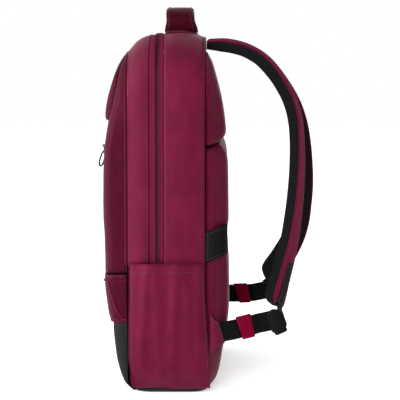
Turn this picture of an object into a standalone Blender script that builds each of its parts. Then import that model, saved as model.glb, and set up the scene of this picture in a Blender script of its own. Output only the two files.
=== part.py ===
"""Travel backpack: sewn panels, padded back, U-shaped main zip, padded shoulder straps.

Metres, +Z up. The bag stands on its base at the origin, its front faces -Y and the
wearer's back is at +Y. Run with: blender --background --python part.py
"""

import math

import bmesh
import bpy
from mathutils import Matrix, Vector

# ---------------------------------------------------------------- driving dimensions
HALF_WIDTH = 0.150  # half the width across the wearer's back
TOP = 0.446  # height of the top at its shoulders
CROWN = 0.0030  # how much higher the top is in the middle
SHOULDER = 0.060  # corner radius of the bag seen from the front
FLOOR_GAP = 0.0055  # the sewn walls start above the base panel
TUCK, TUCK_TOP = 0.007, 0.035  # the walls draw in towards the base
GAP = 0.0003  # clearance between sewn neighbours

BACK_WALL = 0.0388  # Y of the wall behind the laptop
ZIP_LINE = -0.0192  # Y of the main zip's teeth
ZIP_HALF = 0.0090  # width of one half of the zip
FRONT_WALL = -0.0565  # Y of the wall between main compartment and front pocket
FOLD = 0.1515  # height of the line that the front folds forward on
ZIP_END = 0.1630  # height where the main zip ends behind the side pockets

WALL = 0.0025  # gusset: fabric, foam and lining
CLOTH = 0.0014  # coated fabric with its lining
WEBBING = 0.0016

STRAP_AXIS = Vector((0.0, 0.0416, 0.4353))  # the shoulder straps are sewn on here
WEB_INNER, WEB_OUTER = 0.3450, 0.3450 + 0.0250  # lower webbing, radii round that axis
WEB_START, WEB_STRAIGHT, WEB_END = 2.4, 10.8, 13.6  # degrees outwards from straight below it

# Front outline seen from the side: (height, Y). Below the fold, above it, and the hood.
BOOT_PROFILE = ((0.0055, -0.0530), (0.0134, -0.0602), (0.0335, -0.0668), (0.0536, -0.0718),
                (0.0700, -0.0742), (0.0905, -0.0745))
LOW_POCKET_PROFILE = ((0.0909, -0.0758), (0.1037, -0.0806), (0.1238, -0.0842), (0.1426, -0.0858),
                      (0.1508, -0.0845))
POCKET_PROFILE = ((0.1525, -0.0845), (0.2400, -0.0858), (0.3077, -0.0844), (0.3410, -0.0793),
                  (0.3500, -0.0697), (0.3730, -0.0665), (0.4023, -0.0630), (0.4120, -0.0612),
                  (0.4180, -0.0600))
HOOD_PROFILE = ((0.3410, -0.0838), (0.3500, -0.0832), (0.3600, -0.0822), (0.3730, -0.0790), (0.4023, -0.0696),
                (0.4120, -0.0655), (0.4180, -0.0625))
# Back pad outline seen from the side: (height, Y), with the sewn channel between the pads.
LOW_PAD_PROFILE = ((0.0055, 0.0500), (0.0160, 0.0572), (0.0400, 0.0592), (0.0640, 0.0640),
                   (0.1000, 0.0698), (0.1600, 0.0692), (0.2400, 0.0686), (0.2950, 0.0678),
                   (0.3100, 0.0660), (0.3165, 0.0600))
HIGH_PAD_PROFILE = ((0.3185, 0.0600), (0.3250, 0.0648), (0.3346, 0.0652), (0.3647, 0.0602),
                    (0.3947, 0.0527), (0.4200, 0.0470), (0.4280, 0.0440))
# Shoulder strap: (Y, Z) of its centreline, from the yoke to its lower tip.
STRAP_LINE = ((0.0440, 0.4364), (0.0580, 0.4359), (0.0752, 0.4338), (0.0938, 0.4285),
              (0.1122, 0.4178), (0.1272, 0.4026), (0.1401, 0.3838), (0.1503, 0.3630),
              (0.1563, 0.3400), (0.1588, 0.3120), (0.1588, 0.2780), (0.1568, 0.2461),
              (0.1537, 0.2174), (0.1496, 0.1900), (0.1434, 0.1640), (0.1365, 0.1376),
              (0.1313, 0.1180), (0.1282, 0.1065))
STRAP_X = (0.060, 0.106)  # X at the yoke and at the lower tip
STRAP_WIDTH = (0.062, 0.046)
STRAP_TWIST = math.radians(27)  # the lower tip turns outwards by this much
STRAP_SPLAY = {"right": 0.0, "left": 0.020}  # the left strap bows out further

# ---------------------------------------------------------------- scene and materials
COLOURS = {
    "claret_cloth": ((0.190, 0.022, 0.055), 0.45, 0.0),
    "dark_claret_cloth": ((0.110, 0.012, 0.032), 0.50, 0.0),
    "black_coated": ((0.018, 0.018, 0.020), 0.50, 0.0),
    "black_webbing": ((0.012, 0.012, 0.014), 0.80, 0.0),
    "black_mesh": ((0.008, 0.008, 0.010), 0.95, 0.0),
    "black_plastic": ((0.014, 0.014, 0.016), 0.35, 0.0),
    "grey_lining": ((0.110, 0.110, 0.120), 0.75, 0.0),
    "foam": ((0.060, 0.060, 0.065), 0.95, 0.0),
    "board": ((0.500, 0.500, 0.480), 0.60, 0.0),
    "zip_metal": ((0.060, 0.058, 0.062), 0.30, 1.0),
    "zip_tape": ((0.210, 0.040, 0.090), 0.70, 0.0),
}

for old in list(bpy.data.objects):
    bpy.data.objects.remove(old)

backpack = bpy.data.collections.new("travel_backpack")
cutters = bpy.data.collections.new("cutters")
bpy.context.scene.collection.children.link(backpack)
bpy.context.scene.collection.children.link(cutters)


def material(name):
    """The Principled material of that name, made on first use."""
    found = bpy.data.materials.get(name)
    if found:
        return found
    colour, roughness, metallic = COLOURS[name]
    made = bpy.data.materials.new(name)
    made.use_nodes = True
    shader = made.node_tree.nodes["Principled BSDF"]
    shader.inputs["Base Color"].default_value = (*colour, 1.0)
    shader.inputs["Roughness"].default_value = roughness
    shader.inputs["Metallic"].default_value = metallic
    return made


def add_object(name, data, look):
    obj = bpy.data.objects.new(name, data)
    backpack.objects.link(obj)
    if not data.materials:
        data.materials.append(material(look))
    return obj


def mesh_from(bm, name):
    mesh = bpy.data.meshes.new(name)
    bm.to_mesh(mesh)
    bm.free()
    return mesh


# ---------------------------------------------------------------- shape tools
def lerp(a, b, share):
    return a + (b - a) * share


def at_height(profile, z):
    """Y of a side outline at height z, on straight lines between its points."""
    for (z0, y0), (z1, y1) in zip(profile, profile[1:]):
        if z <= z1:
            return lerp(y0, y1, max(0.0, (z - z0) / (z1 - z0)))
    return profile[-1][1]


def half_at(z, half=HALF_WIDTH, top=TOP, radius=SHOULDER):
    """Half the width at height z: drawn in at the base, round at the shoulders."""
    if z < TUCK_TOP:
        return half - TUCK * (1 - z / TUCK_TOP) ** 2
    lift = min(radius, z - (top - radius))
    return half if lift <= 0 else half - radius + math.sqrt(radius**2 - lift**2)


def arch(half, top, radius, foot, steps=6):
    """Points (x, z) up the right side, over the crowned top and down the left side."""
    side = [(half_at(z, half, top, radius), z) for z in (foot, 0.015, TUCK_TOP) if z >= foot]
    corner = []
    for i in range(steps + 1):
        angle = math.pi / 2 * i / steps
        corner.append((half - radius + radius * math.cos(angle), top - radius + radius * math.sin(angle)))
    right = side + corner + [((half - radius) / 2, top)]
    points = right + [(0.0, top)] + [(-x, z) for x, z in reversed(right)]
    return [(x, z + CROWN * max(0.0, 1 - (x / (half - radius * 0.5)) ** 2)) for x, z in points]


def plan_u(half, front, back, radius, steps=3):
    """Points (x, y) forward along the right side, across the front and back along the left."""
    radius = min(radius, (back - front) * 0.9)
    corner = []
    for i in range(steps + 1):
        angle = math.pi / 2 * i / steps
        corner.append((half - radius + radius * math.cos(angle), front + radius - radius * math.sin(angle)))
    right = [(half, back)] + corner
    return right + [(-x, y) for x, y in reversed(right)]


def sheet(name, rows, thickness, look):
    """An open surface through rows of points, given its thickness inwards by Solidify."""
    bm = bmesh.new()
    grid = [[bm.verts.new(p) for p in row] for row in rows]
    for low, high in zip(grid, grid[1:]):
        for i in range(len(low) - 1):
            bm.faces.new((low[i], high[i], high[i + 1], low[i + 1]))
    obj = add_object(name, mesh_from(bm, name), look)
    solidify = obj.modifiers.new("Solidify", "SOLIDIFY")
    solidify.thickness = thickness
    solidify.offset = -1
    solidify.use_even_offset = True
    return obj


def arch_sheet(name, stations, foot, thickness, look):
    """An arch-shaped strip. Stations are (y, half width, top)."""
    rows = [[(x, y, z) for x, z in arch(half, top, SHOULDER, foot)] for y, half, top in stations]
    return sheet(name, rows, thickness, look)


def wrap_sheet(name, stations, thickness, look):
    """A strip wrapped round the front. Stations are (z, half width, front, back, radius)."""
    rows = [[(x, y, z) for x, y in plan_u(half, front, back, radius)]
            for z, half, front, back, radius in stations]
    return sheet(name, rows, thickness, look)


def loft(name, rings, look, closed=False):
    """A solid through rings with equal numbers of points."""
    bm = bmesh.new()
    made = [[bm.verts.new(p) for p in ring] for ring in rings]
    pairs = list(zip(made, made[1:]))
    if closed:
        pairs.append((made[-1], made[0]))
    for a, b in pairs:
        for i in range(len(a)):
            j = (i + 1) % len(a)
            if i < len(a) / 2:
                bm.faces.new((a[i], a[j], b[j]))
                bm.faces.new((a[i], b[j], b[i]))
            else:
                bm.faces.new((a[i], a[j], b[i]))
                bm.faces.new((a[j], b[j], b[i]))
    if not closed:
        bm.faces.new(made[0])
        bm.faces.new(made[-1])
    bmesh.ops.recalc_face_normals(bm, faces=bm.faces)
    return add_object(name, mesh_from(bm, name), look)


def ribbon(name, stations, look):
    """A flat band. Stations are (centre, direction of width, normal, width, low, high)."""
    rings = []
    for centre, across, normal, width, low, high in stations:
        a, b = across * (width / 2), across * (-width / 2)
        rings.append([centre + a + normal * low, centre + a + normal * high,
                      centre + b + normal * high, centre + b + normal * low])
    return loft(name, rings, look)


def plate(name, points, thickness, look, matrix, hole=None):
    """A flat outline, and perhaps a hole in it, extruded to both sides of its plane."""
    curve = bpy.data.curves.new(name, "CURVE")
    curve.dimensions = "2D"
    curve.fill_mode = "BOTH"
    curve.extrude = thickness / 2
    for outline in (points, hole):
        if outline:
            spline = curve.splines.new("POLY")
            spline.points.add(len(outline) - 1)
            for point, (x, y) in zip(spline.points, outline):
                point.co = (x, y, 0, 1)
            spline.use_cyclic_u = True
    obj = add_object(name, curve, look)
    obj.matrix_world = matrix
    return obj


def box(name, size, look, matrix, bevel=0.0):
    bm = bmesh.new()
    bmesh.ops.create_cube(bm, size=1.0)
    bmesh.ops.scale(bm, vec=size, verts=bm.verts)
    obj = add_object(name, mesh_from(bm, name), look)
    obj.matrix_world = matrix
    if bevel:
        rounding = obj.modifiers.new("Bevel", "BEVEL")
        rounding.width = bevel
        rounding.segments = 2
    return obj


def tube(name, points, radius, look, cyclic=False):
    curve = bpy.data.curves.new(name, "CURVE")
    curve.dimensions = "3D"
    curve.bevel_depth = radius
    curve.bevel_resolution = 2
    curve.use_fill_caps = True
    spline = curve.splines.new("POLY")
    spline.points.add(len(points) - 1)
    for point, at in zip(spline.points, points):
        point.co = (*at, 1)
    spline.use_cyclic_u = cyclic
    return add_object(name, curve, look)


def round_rect(half_x, half_y, radius, steps=4):
    points = []
    for quarter in range(4):
        sx = 1 if quarter in (0, 3) else -1
        sy = 1 if quarter in (0, 1) else -1
        for i in range(steps + 1):
            angle = math.pi / 2 * (quarter + i / steps)
            points.append((sx * (half_x - radius) + radius * math.cos(angle),
                           sy * (half_y - radius) + radius * math.sin(angle)))
    return points


def frame_matrix(origin, x_axis, y_axis, z_axis):
    return Matrix.Translation(origin) @ Matrix((x_axis, y_axis, z_axis)).transposed().to_4x4()


SIDES = (("right", 1), ("left", -1))
X, Y, Z = Vector((1, 0, 0)), Vector((0, 1, 0)), Vector((0, 0, 1))


# ---------------------------------------------------------------- base
def build_base():
    rings = []
    for z, grow in ((0.0, 0.0), (0.0022, 0.0040), (0.0050, 0.0060)):
        rings.append([(x, y, z) for x, y in round_rect(0.136 + grow, 0.046 + grow, 0.022)])
    loft("base_panel", rings, "black_coated")
    board = round_rect(0.128, 0.036, 0.012)
    plate("base_board", board, 0.003, "board", Matrix.Translation((0, -0.006, 0.0085)))


# ---------------------------------------------------------------- rear compartment and back
def filled_arch(half, top, radius, foot, y, thickness, name, look):
    """A wall with the bag's front outline. Local x, y become world X and Z."""
    matrix = frame_matrix(Vector((0, y, 0)), X, Z, -Y)
    plate(name, arch(half, top, radius, foot, steps=5), thickness, look, matrix)


def pad_rings(profile, front, inset):
    rings = []
    for z, back in profile:
        half = half_at(z, HALF_WIDTH - inset, TOP - 0.004, SHOULDER)
        radius = min(0.020, (back - front) * 0.8)
        u = [(x, back + front - y) for x, y in plan_u(half, front, back, radius, steps=4)]
        rings.append([(x, y, z) for x, y in u])
    return rings


def band_height_shift(y):
    """The luggage band climbs from the side seams towards the middle of the back."""
    return 0.0095 * min(1.0, (y - BACK_WALL) / 0.026)


def build_back():
    stations = ((ZIP_LINE + ZIP_HALF + 0.0007, HALF_WIDTH, TOP), (0.014, HALF_WIDTH, TOP + 0.0005),
                (BACK_WALL - GAP, HALF_WIDTH - 0.001, TOP - 0.003))
    arch_sheet("rear_gusset", stations, FLOOR_GAP, WALL, "claret_cloth")
    filled_arch(HALF_WIDTH - 0.0015, TOP - 0.0065, SHOULDER, FLOOR_GAP, BACK_WALL + 0.0008, 0.0015,
                "back_wall", "dark_claret_cloth")
    filled_arch(0.136, 0.415, 0.030, 0.013, BACK_WALL - 0.0014, 0.0018, "frame_sheet", "board")
    pad_front = BACK_WALL + 0.0015 + 2 * GAP
    loft("lower_back_pad", pad_rings(LOW_PAD_PROFILE, pad_front, 0.0008), "claret_cloth")
    loft("upper_back_pad", pad_rings(HIGH_PAD_PROFILE, pad_front, 0.0008), "claret_cloth")

    middle, height = 0.1840, 0.038
    back = at_height(LOW_PAD_PROFILE, middle) + GAP + 0.0012
    line = plan_u(HALF_WIDTH - 0.0008 + GAP + 0.0012, pad_front, back, 0.021, steps=5)
    line = [Vector((x, back + pad_front - y, middle)) for x, y in line]
    stations = []
    for i, at in enumerate(line):
        along = (line[min(i + 1, len(line) - 1)] - line[max(i - 1, 0)]).normalized()
        shifted = at + Z * band_height_shift(at.y)
        stations.append((shifted, Z, along.cross(Z), height, -0.0007, 0.0007))
    ribbon("luggage_band", stations, "black_webbing")


# ---------------------------------------------------------------- sides
def pocket_rows(side, gap, bulge):
    """Rows of a side pocket: sewn at its front, rear and base, slack in the middle."""
    across, up = 8, 9
    rows = []
    for j in range(up + 1):
        z = lerp(FLOOR_GAP + 0.001, ZIP_END - 0.0005, j / up)
        front = lerp(-0.0475, -0.0550, min(1.0, z / 0.06))
        rear = lerp(0.0500, 0.0440, min(1.0, z / 0.10))
        full = min(1.0, (j / up) / 0.3)
        row = []
        for i in range(across + 1):
            share = i / across
            swell = bulge * full * math.sin(math.pi * share) ** 0.6
            row.append(Vector((side * (half_at(z) + gap + swell), lerp(front, rear, share), z)))
        rows.append(row if side > 0 else row[::-1])
    return rows


def build_sides():
    for name, side in SIDES:
        middle_y = (FRONT_WALL + 0.0015 + ZIP_LINE + ZIP_HALF) / 2
        width_y = ZIP_LINE + ZIP_HALF - FRONT_WALL - 0.0035
        rings = []
        for z in (FLOOR_GAP, 0.015, TUCK_TOP, ZIP_END - 0.0015):
            outer = half_at(z) - 0.0003
            rings.append([(side * (outer - dx), middle_y + dy, z) for dx, dy in
                          ((0, -width_y / 2), (0, width_y / 2), (0.002, width_y / 2), (0.002, -width_y / 2))])
        loft("lower_side_panel_" + name, rings, "claret_cloth")
        sheet("side_pocket_" + name, pocket_rows(side, 0.0020, 0.0070), CLOTH, "claret_cloth")


# ---------------------------------------------------------------- front below the fold
def build_lower_front():
    plate("lower_front_wall", [(-0.146, 0.036), (-0.142, 0.0150), (0.142, 0.0150), (0.146, 0.036),
                               (0.146, FOLD - 0.0015), (-0.146, FOLD - 0.0015)],
          0.0015, "dark_claret_cloth", frame_matrix(Vector((0, FRONT_WALL - 0.0008, 0)), X, Z, -Y))
    back = FRONT_WALL - 0.0019
    boot = [(z, half_at(z) - 0.0045, y, max(back, y + 0.0018), 0.014) for z, y in BOOT_PROFILE]
    wrap_sheet("front_boot", boot, CLOTH, "black_coated")
    low = [(z, half_at(z) - 0.0040, y, back, 0.012) for z, y in LOW_POCKET_PROFILE]
    wrap_sheet("lower_front_pocket", low, CLOTH, "claret_cloth")


# ---------------------------------------------------------------- zip parts
def zip_half(name, near, far, foot, look):
    """One tape of the main zip with its row of coil teeth at the edge next to `near`."""
    path = arch(HALF_WIDTH - 0.001, TOP - 0.001, SHOULDER, foot)
    rings = []
    for i, (x, z) in enumerate(path):
        x0, z0 = path[max(i - 1, 0)]
        x1, z1 = path[min(i + 1, len(path) - 1)]
        out = Vector((z1 - z0, 0, x0 - x1)).normalized()
        at = Vector((x, 0, z))
        toward = 1 if far > near else -1
        profile = ((near, 0.0012), (near + toward * 0.0013, 0.0012), (near + toward * 0.0015, 0.0),
                   (far, 0.0), (far, -0.0008), (near, -0.0008))
        rings.append([at + out * rise + Y * y for y, rise in profile])
    loft(name, rings, look)


def slider_mesh():
    """A zip slider: a plate with two ears. It travels along local x and its height is z."""
    parts = (((0.0095, 0.0074, 0.0020), (0, 0, 0.0010)), ((0.0034, 0.0012, 0.0034), (0, 0.0026, 0.0030)),
             ((0.0034, 0.0012, 0.0034), (0, -0.0026, 0.0030)))
    made = []
    for i, (size, at) in enumerate(parts):
        piece = box(f"slider_block_{i}", size, "zip_metal", Matrix.Translation(at))
        piece.hide_render = True
        piece.display_type = "WIRE"
        backpack.objects.unlink(piece)
        cutters.objects.link(piece)
        made.append(piece)
    for ear in made[1:]:
        join = made[0].modifiers.new("Join", "BOOLEAN")
        join.operation = "UNION"
        join.object = ear
    bpy.context.view_layer.update()
    mesh = bpy.data.meshes.new_from_object(made[0].evaluated_get(bpy.context.evaluated_depsgraph_get()))
    mesh.transform(made[0].matrix_world)
    for piece in made:
        bpy.data.objects.remove(piece)
    return mesh


def add_slider(name, mesh, matrix):
    obj = add_object(name, mesh, "zip_metal")
    obj.matrix_world = matrix


PULL_HEAD = 0.0032  # height of a pull's hinge over the slider's underside


def add_pull(name, matrix, length, look):
    """A flat pull, hinged between the slider's ears and lying along local +x."""
    outline = [(-0.0008, -0.0016), (0.0030, -0.0016), (0.0060, -0.0030), (length, -0.0030),
               (length + 0.0015, -0.0015), (length + 0.0015, 0.0015), (length, 0.0030),
               (0.0060, 0.0030), (0.0030, 0.0016), (-0.0008, 0.0016)]
    hole = [(length - 0.0065 + 0.0012 * math.cos(a), 0.0012 * math.sin(a))
            for a in (math.pi / 4 * k for k in range(8))]
    plate(name, outline, 0.0014, look, matrix @ Matrix.Translation((0, 0, PULL_HEAD)), hole)


# ---------------------------------------------------------------- front that folds open
POCKET_HALF = 0.1455
FRONT_ZIP_X, FRONT_ZIP_TOP, FRONT_ZIP_FOOT = 0.062, 0.3160, 0.1750


def build_opening_front(slider):
    rear_edge = ZIP_LINE - ZIP_HALF - 0.0007
    stations = ((FRONT_WALL + 0.0006, HALF_WIDTH - 0.001, 0.4225), (-0.0430, HALF_WIDTH, 0.4330),
                (rear_edge, HALF_WIDTH, 0.4420))
    arch_sheet("front_gusset", stations, ZIP_END, WALL, "claret_cloth")
    filled_arch(0.1465, 0.4150, 0.055, FOLD + 0.001, FRONT_WALL - 0.0008, 0.0015, "front_wall",
                "dark_claret_cloth")
    organiser = round_rect(0.118, 0.080, 0.010, steps=2)
    plate("organiser_panel", organiser, 0.0012, "grey_lining",
          frame_matrix(Vector((0, FRONT_WALL + 0.0016, 0.2650)), X, Z, -Y))

    back = FRONT_WALL - 0.0019
    rows = []
    for z, y in POCKET_PROFILE:
        half = half_at(z, POCKET_HALF, 0.4190, 0.052)
        rows.append((z, half, y, max(back, y + 0.0008), 0.012))
    wrap_sheet("front_pocket", rows, CLOTH, "claret_cloth")
    build_hood()

    slope = math.atan2(0.0094, 0.029)
    badge_y = at_height(HOOD_PROFILE, 0.3870) - 0.0012
    tilt = Matrix.Translation((0, badge_y, 0.3870)) @ Matrix.Rotation(-slope, 4, "X")
    box("badge", (0.040, 0.0014, 0.029), "black_plastic", tilt, bevel=0.0005)

    rings = []
    for z in (FRONT_ZIP_FOOT, 0.2400, 0.3077, FRONT_ZIP_TOP):
        face = at_height(POCKET_PROFILE, z) - GAP
        profile = ((-0.011, 0.0008), (-0.0018, 0.0008), (-0.0016, 0.0018), (0.0016, 0.0018),
                   (0.0018, 0.0008), (0.011, 0.0008), (0.011, 0.0), (-0.011, 0.0))
        rings.append([(FRONT_ZIP_X + dx, face - rise, z) for dx, rise in profile])
    loft("front_zip", rings, "zip_tape")

    head = 0.3060
    face = at_height(POCKET_PROFILE, head) - GAP - 0.0018 - 0.0004
    place = frame_matrix(Vector((FRONT_ZIP_X, face, head)), -Z, X, -Y)
    add_slider("front_slider", slider, place)
    hinge = place @ Matrix.Translation((0, 0, PULL_HEAD))
    tab = [(-0.0008, -0.0016), (0.0030, -0.0016), (0.0050, -0.0024), (0.0092, -0.0024),
           (0.0092, 0.0024), (0.0050, 0.0024), (0.0030, 0.0016), (-0.0008, 0.0016)]
    eye = [(0.0068 + 0.0014 * math.cos(a), 0.0014 * math.sin(a)) for a in (math.pi / 4 * k for k in range(8))]
    plate("front_pull_tab", tab, 0.0012, "zip_metal", hinge, eye)
    loop = []
    for k in range(20):
        angle = 2 * math.pi * k / 20
        drop = 0.0068 + 0.0085 * (1 - math.cos(angle))
        loop.append(hinge @ Vector((drop, 0.0, 0.0024 * math.sin(angle))))
    tube("front_pull_cord", loop, 0.0007, "black_webbing", cyclic=True)


def build_hood():
    """The upper front pocket: a shallow cover whose lower edge overhangs the front pocket."""
    rows = []
    for z, y in HOOD_PROFILE:
        back = at_height(POCKET_PROFILE, z) - 2.5 * GAP
        rows.append((z, half_at(z, 0.132, 0.4190, 0.045), y, back, 0.006))
    wrap_sheet("hood_pocket", rows, 0.0012, "claret_cloth")


MAIN_SLIDER_Z = 0.1900  # parked just above the left side pocket


def build_main_zip(slider):
    zip_half("main_zip_front_half", ZIP_LINE - GAP, ZIP_LINE - ZIP_HALF, ZIP_END, "zip_tape")
    zip_half("main_zip_rear_half", ZIP_LINE + GAP, ZIP_LINE + ZIP_HALF, ZIP_END, "zip_tape")
    out = HALF_WIDTH - 0.001 + 0.0012 + 0.0004
    place = frame_matrix(Vector((-out, ZIP_LINE, MAIN_SLIDER_Z)), -Z, -Y, -X)
    add_slider("main_slider", slider, place)
    add_pull("main_pull", place, 0.0200, "black_plastic")


# ---------------------------------------------------------------- inside
def build_inside():
    outline = [(x, z + 0.1730) for x, z in round_rect(0.134, 0.160, 0.020, steps=3)]
    plate("laptop_divider", outline, 0.0055, "grey_lining",
          frame_matrix(Vector((0, 0.0120, 0)), X, Z, -Y))
    strap = [(x, z) for x, z in round_rect(0.0125, 0.055, 0.004, steps=2)]
    plate("laptop_strap", strap, 0.0016, "black_webbing",
          frame_matrix(Vector((0, 0.0075, 0.2850)), X, Z, -Y))


# ---------------------------------------------------------------- grab handle
HANDLE_Y = 0.0095
HANDLE_LIFT = 0.0060  # the handle's arch starts this far over its sewn feet


def top_height(x):
    """Height of the faceted top of the gusset at x."""
    path = [p for p in arch(HALF_WIDTH, TOP + 0.0005, SHOULDER, FLOOR_GAP) if p[1] > TOP - 0.02]
    for (x0, z0), (x1, z1) in zip(path, path[1:]):
        if x1 <= x <= x0:
            return lerp(z0, z1, (x - x0) / (x1 - x0))
    return TOP


def build_handle():
    foot = top_height(0.068) + 0.0030
    line = [(0.0685, foot + HANDLE_LIFT), (0.0695, 0.4655), (0.0670, 0.4720), (0.0600, 0.4775),
            (0.0460, 0.4797), (0.0240, 0.4805)]
    line = line + [(0.0, 0.4808)] + [(-x, z) for x, z in reversed(line)]
    points = [Vector((x, HANDLE_Y, z)) for x, z in line]
    stations = []
    for i, at in enumerate(points):
        along = (points[min(i + 1, len(points) - 1)] - points[max(i - 1, 0)]).normalized()
        stations.append((at, Y, along.cross(Y), 0.0350, -0.0030, 0.0030))
    ribbon("grab_handle", stations, "claret_cloth")
    for name, side in SIDES:
        rings = []
        for x in (0.0480, 0.0600, 0.0620, 0.0750, 0.0770, 0.0895):
            tall = 0.0040 if 0.061 < x < 0.076 else 0.0014
            half = 0.0185 if 0.061 < x < 0.076 else 0.0195
            low = top_height(x) + GAP
            rings.append([(x * side, HANDLE_Y - half, low), (x * side, HANDLE_Y + half, low),
                          (x * side, HANDLE_Y + half, low + tall), (x * side, HANDLE_Y - half, low + tall)])
        loft("handle_foot_" + name, rings, "claret_cloth")


# ---------------------------------------------------------------- shoulder straps
def strap_frames(side_name, side):
    """(centre, direction of width, outward normal, width) down a strap, twisting outwards."""
    count = len(STRAP_LINE)
    centres = []
    for i, (y, z) in enumerate(STRAP_LINE):
        share = i / (count - 1)
        bow = STRAP_SPLAY[side_name] * math.sin(math.pi * share**1.9) ** 2
        x = lerp(*STRAP_X, share**1.5)
        centres.append(Vector((x * side, y + bow, z)))
    frames = []
    for i, at in enumerate(centres):
        share = i / (count - 1)
        along = (centres[min(i + 1, count - 1)] - centres[max(i - 1, 0)]).normalized()
        across = (X - along * along.dot(X)).normalized()
        normal = across.cross(along)
        twist = side * (STRAP_TWIST * share**2 + math.radians(2.5) * (1 - share))
        turn = Matrix.Rotation(twist, 3, along)
        frames.append((at, turn @ across, turn @ normal, lerp(*STRAP_WIDTH, share), share))
    return frames


def web_x(angle_deg):
    """The lower webbing leans inwards from the side seam, then runs straight to the ladder lock."""
    return lerp(0.1518, 0.1190, min(1.0, (angle_deg - WEB_START) / (WEB_STRAIGHT - WEB_START)))


def polar(angle_deg, radius, out=0.0, side=1):
    """A point on the webbing's path: at that angle round the strap axis, `out` from its face."""
    angle = math.radians(angle_deg)
    return Vector((side * (web_x(angle_deg) + out), STRAP_AXIS.y + radius * math.sin(angle),
                   STRAP_AXIS.z - radius * math.cos(angle)))


def build_strap(name, side):
    frames = strap_frames(name, side)
    layers = (("strap_mesh_", 0.0, 0.0012, "black_mesh"), ("strap_foam_", 0.0016, 0.0130, "foam"),
              ("strap_shell_", 0.0134, 0.0146, "claret_cloth"))
    for label, low, high, look in layers:
        stations = []
        for at, across, normal, width, share in frames:
            plump = min(1.0, 0.68 + 4.0 * share)
            stations.append((at, across, normal, width, (low - 0.0073) * plump, (high - 0.0073) * plump))
        ribbon(label + name, stations, look)

    lock = Vector((side * 0.1220, 0.1322, 0.0860))
    lean = math.radians(24)
    along = Vector((0, -math.cos(lean), -math.sin(lean)))
    across = Vector((0, math.sin(lean), -math.cos(lean)))
    place = frame_matrix(lock, across, along, across.cross(along))
    build_ladder_lock(name, place)

    tab = []
    for at, over, normal, width, share in frames[-3:]:
        tab.append((at, over, normal, 0.020, 0.0086, 0.0100))
    tip, over, normal = frames[-1][:3]
    end = lock + X * (side * 0.0040) - along * 0.0100 - across * 0.0125
    tab.append((tip.lerp(end, 0.6) + normal * 0.0072, over, normal, 0.018, 0.0, 0.0014))
    ribbon("strap_tab_" + name, tab, "black_webbing")

    tail = []
    for step, lift in ((-0.009, 0.0030), (0.004, 0.0032), (0.0105, 0.0036)):
        tail.append((lock + along * step + X * (side * lift), across, X * side, 0.0235, 0.0, 0.0016))
    ribbon("webbing_tail_" + name, tail, "black_webbing")
    build_webbing(name, side)


def build_ladder_lock(name, place):
    """A three-bar slide for 25 mm webbing: a plate with two slots."""
    slide = bpy.data.curves.new("ladder_lock_" + name, "CURVE")
    slide.dimensions = "2D"
    slide.fill_mode = "BOTH"
    slide.extrude = 0.0014
    slots = [[(x, y + shift) for x, y in round_rect(0.0130, 0.0022, 0.0010, steps=1)]
             for shift in (-0.0040, 0.0040)]
    for outline in [round_rect(0.0155, 0.0108, 0.0030, steps=2), *slots]:
        spline = slide.splines.new("POLY")
        spline.points.add(len(outline) - 1)
        for point, (x, y) in zip(spline.points, outline):
            point.co = (x, y, 0, 1)
        spline.use_cyclic_u = True
    obj = add_object("ladder_lock_" + name, slide, "black_plastic")
    obj.matrix_world = place


def build_webbing(name, side):
    """The lower webbing from the side seam, its cloth keeper and the cloth wing that holds it."""
    half = WEBBING / 2
    rings = []
    for angle in (2.4, 3.8, 5.3, 7.1, 8.9, WEB_STRAIGHT, 12.2, WEB_END):
        rings.append([polar(angle, WEB_INNER, -half, side), polar(angle, WEB_OUTER, -half, side),
                      polar(angle, WEB_OUTER, half, side), polar(angle, WEB_INNER, half, side)])
    loft("lower_webbing_" + name, rings, "black_webbing")

    low, high, near, wall = WEB_INNER - 0.0006, WEB_OUTER + 0.0006, half + 0.0006, 0.0011
    inner = ((low, -near), (high, -near), (high, near), (low, near))
    outer = ((low - wall, -near - wall), (high + wall, -near - wall), (high + wall, near + wall),
             (low - wall, near + wall))
    bm = bmesh.new()
    grid = []
    for k in range(4):
        angle = lerp(6.2, 9.9, k / 3)
        grid.append([[bm.verts.new(polar(angle, r, out, side)) for r, out in ring]
                     for ring in (outer, inner)])
    for i in range(4):
        j = (i + 1) % 4
        for a, b in zip(grid, grid[1:]):
            for wall_side in (0, 1):
                bm.faces.new((a[wall_side][i], a[wall_side][j], b[wall_side][j], b[wall_side][i]))
        for end in (grid[0], grid[-1]):
            bm.faces.new((end[0][i], end[0][j], end[1][j], end[1][i]))
    bmesh.ops.recalc_face_normals(bm, faces=bm.faces)
    add_object("keeper_" + name, mesh_from(bm, "keeper_" + name), "claret_cloth")

    face = [Vector((side * 0.1534, 0.0505, 0.1005)), Vector((side * 0.1534, 0.0505, 0.0500)),
            polar(3.7, WEB_OUTER - 0.001, 0.0048, side), polar(2.9, WEB_INNER + 0.001, 0.0040, side)]
    back = [point + X * (side * 0.0012) for point in face]
    loft("wing_" + name, [face, back], "claret_cloth")


build_base()
build_back()
build_sides()
build_lower_front()
slider_shape = slider_mesh()
build_opening_front(slider_shape)
build_main_zip(slider_shape)
build_inside()
build_handle()
for side_label, side_sign in SIDES:
    build_strap(side_label, side_sign)
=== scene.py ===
"""Travel backpack in claret coated cloth: sewn panels, zips, pads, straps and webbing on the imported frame."""
import math

import bmesh
import bpy
import numpy as np
from mathutils import Matrix, Vector, noise


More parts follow.
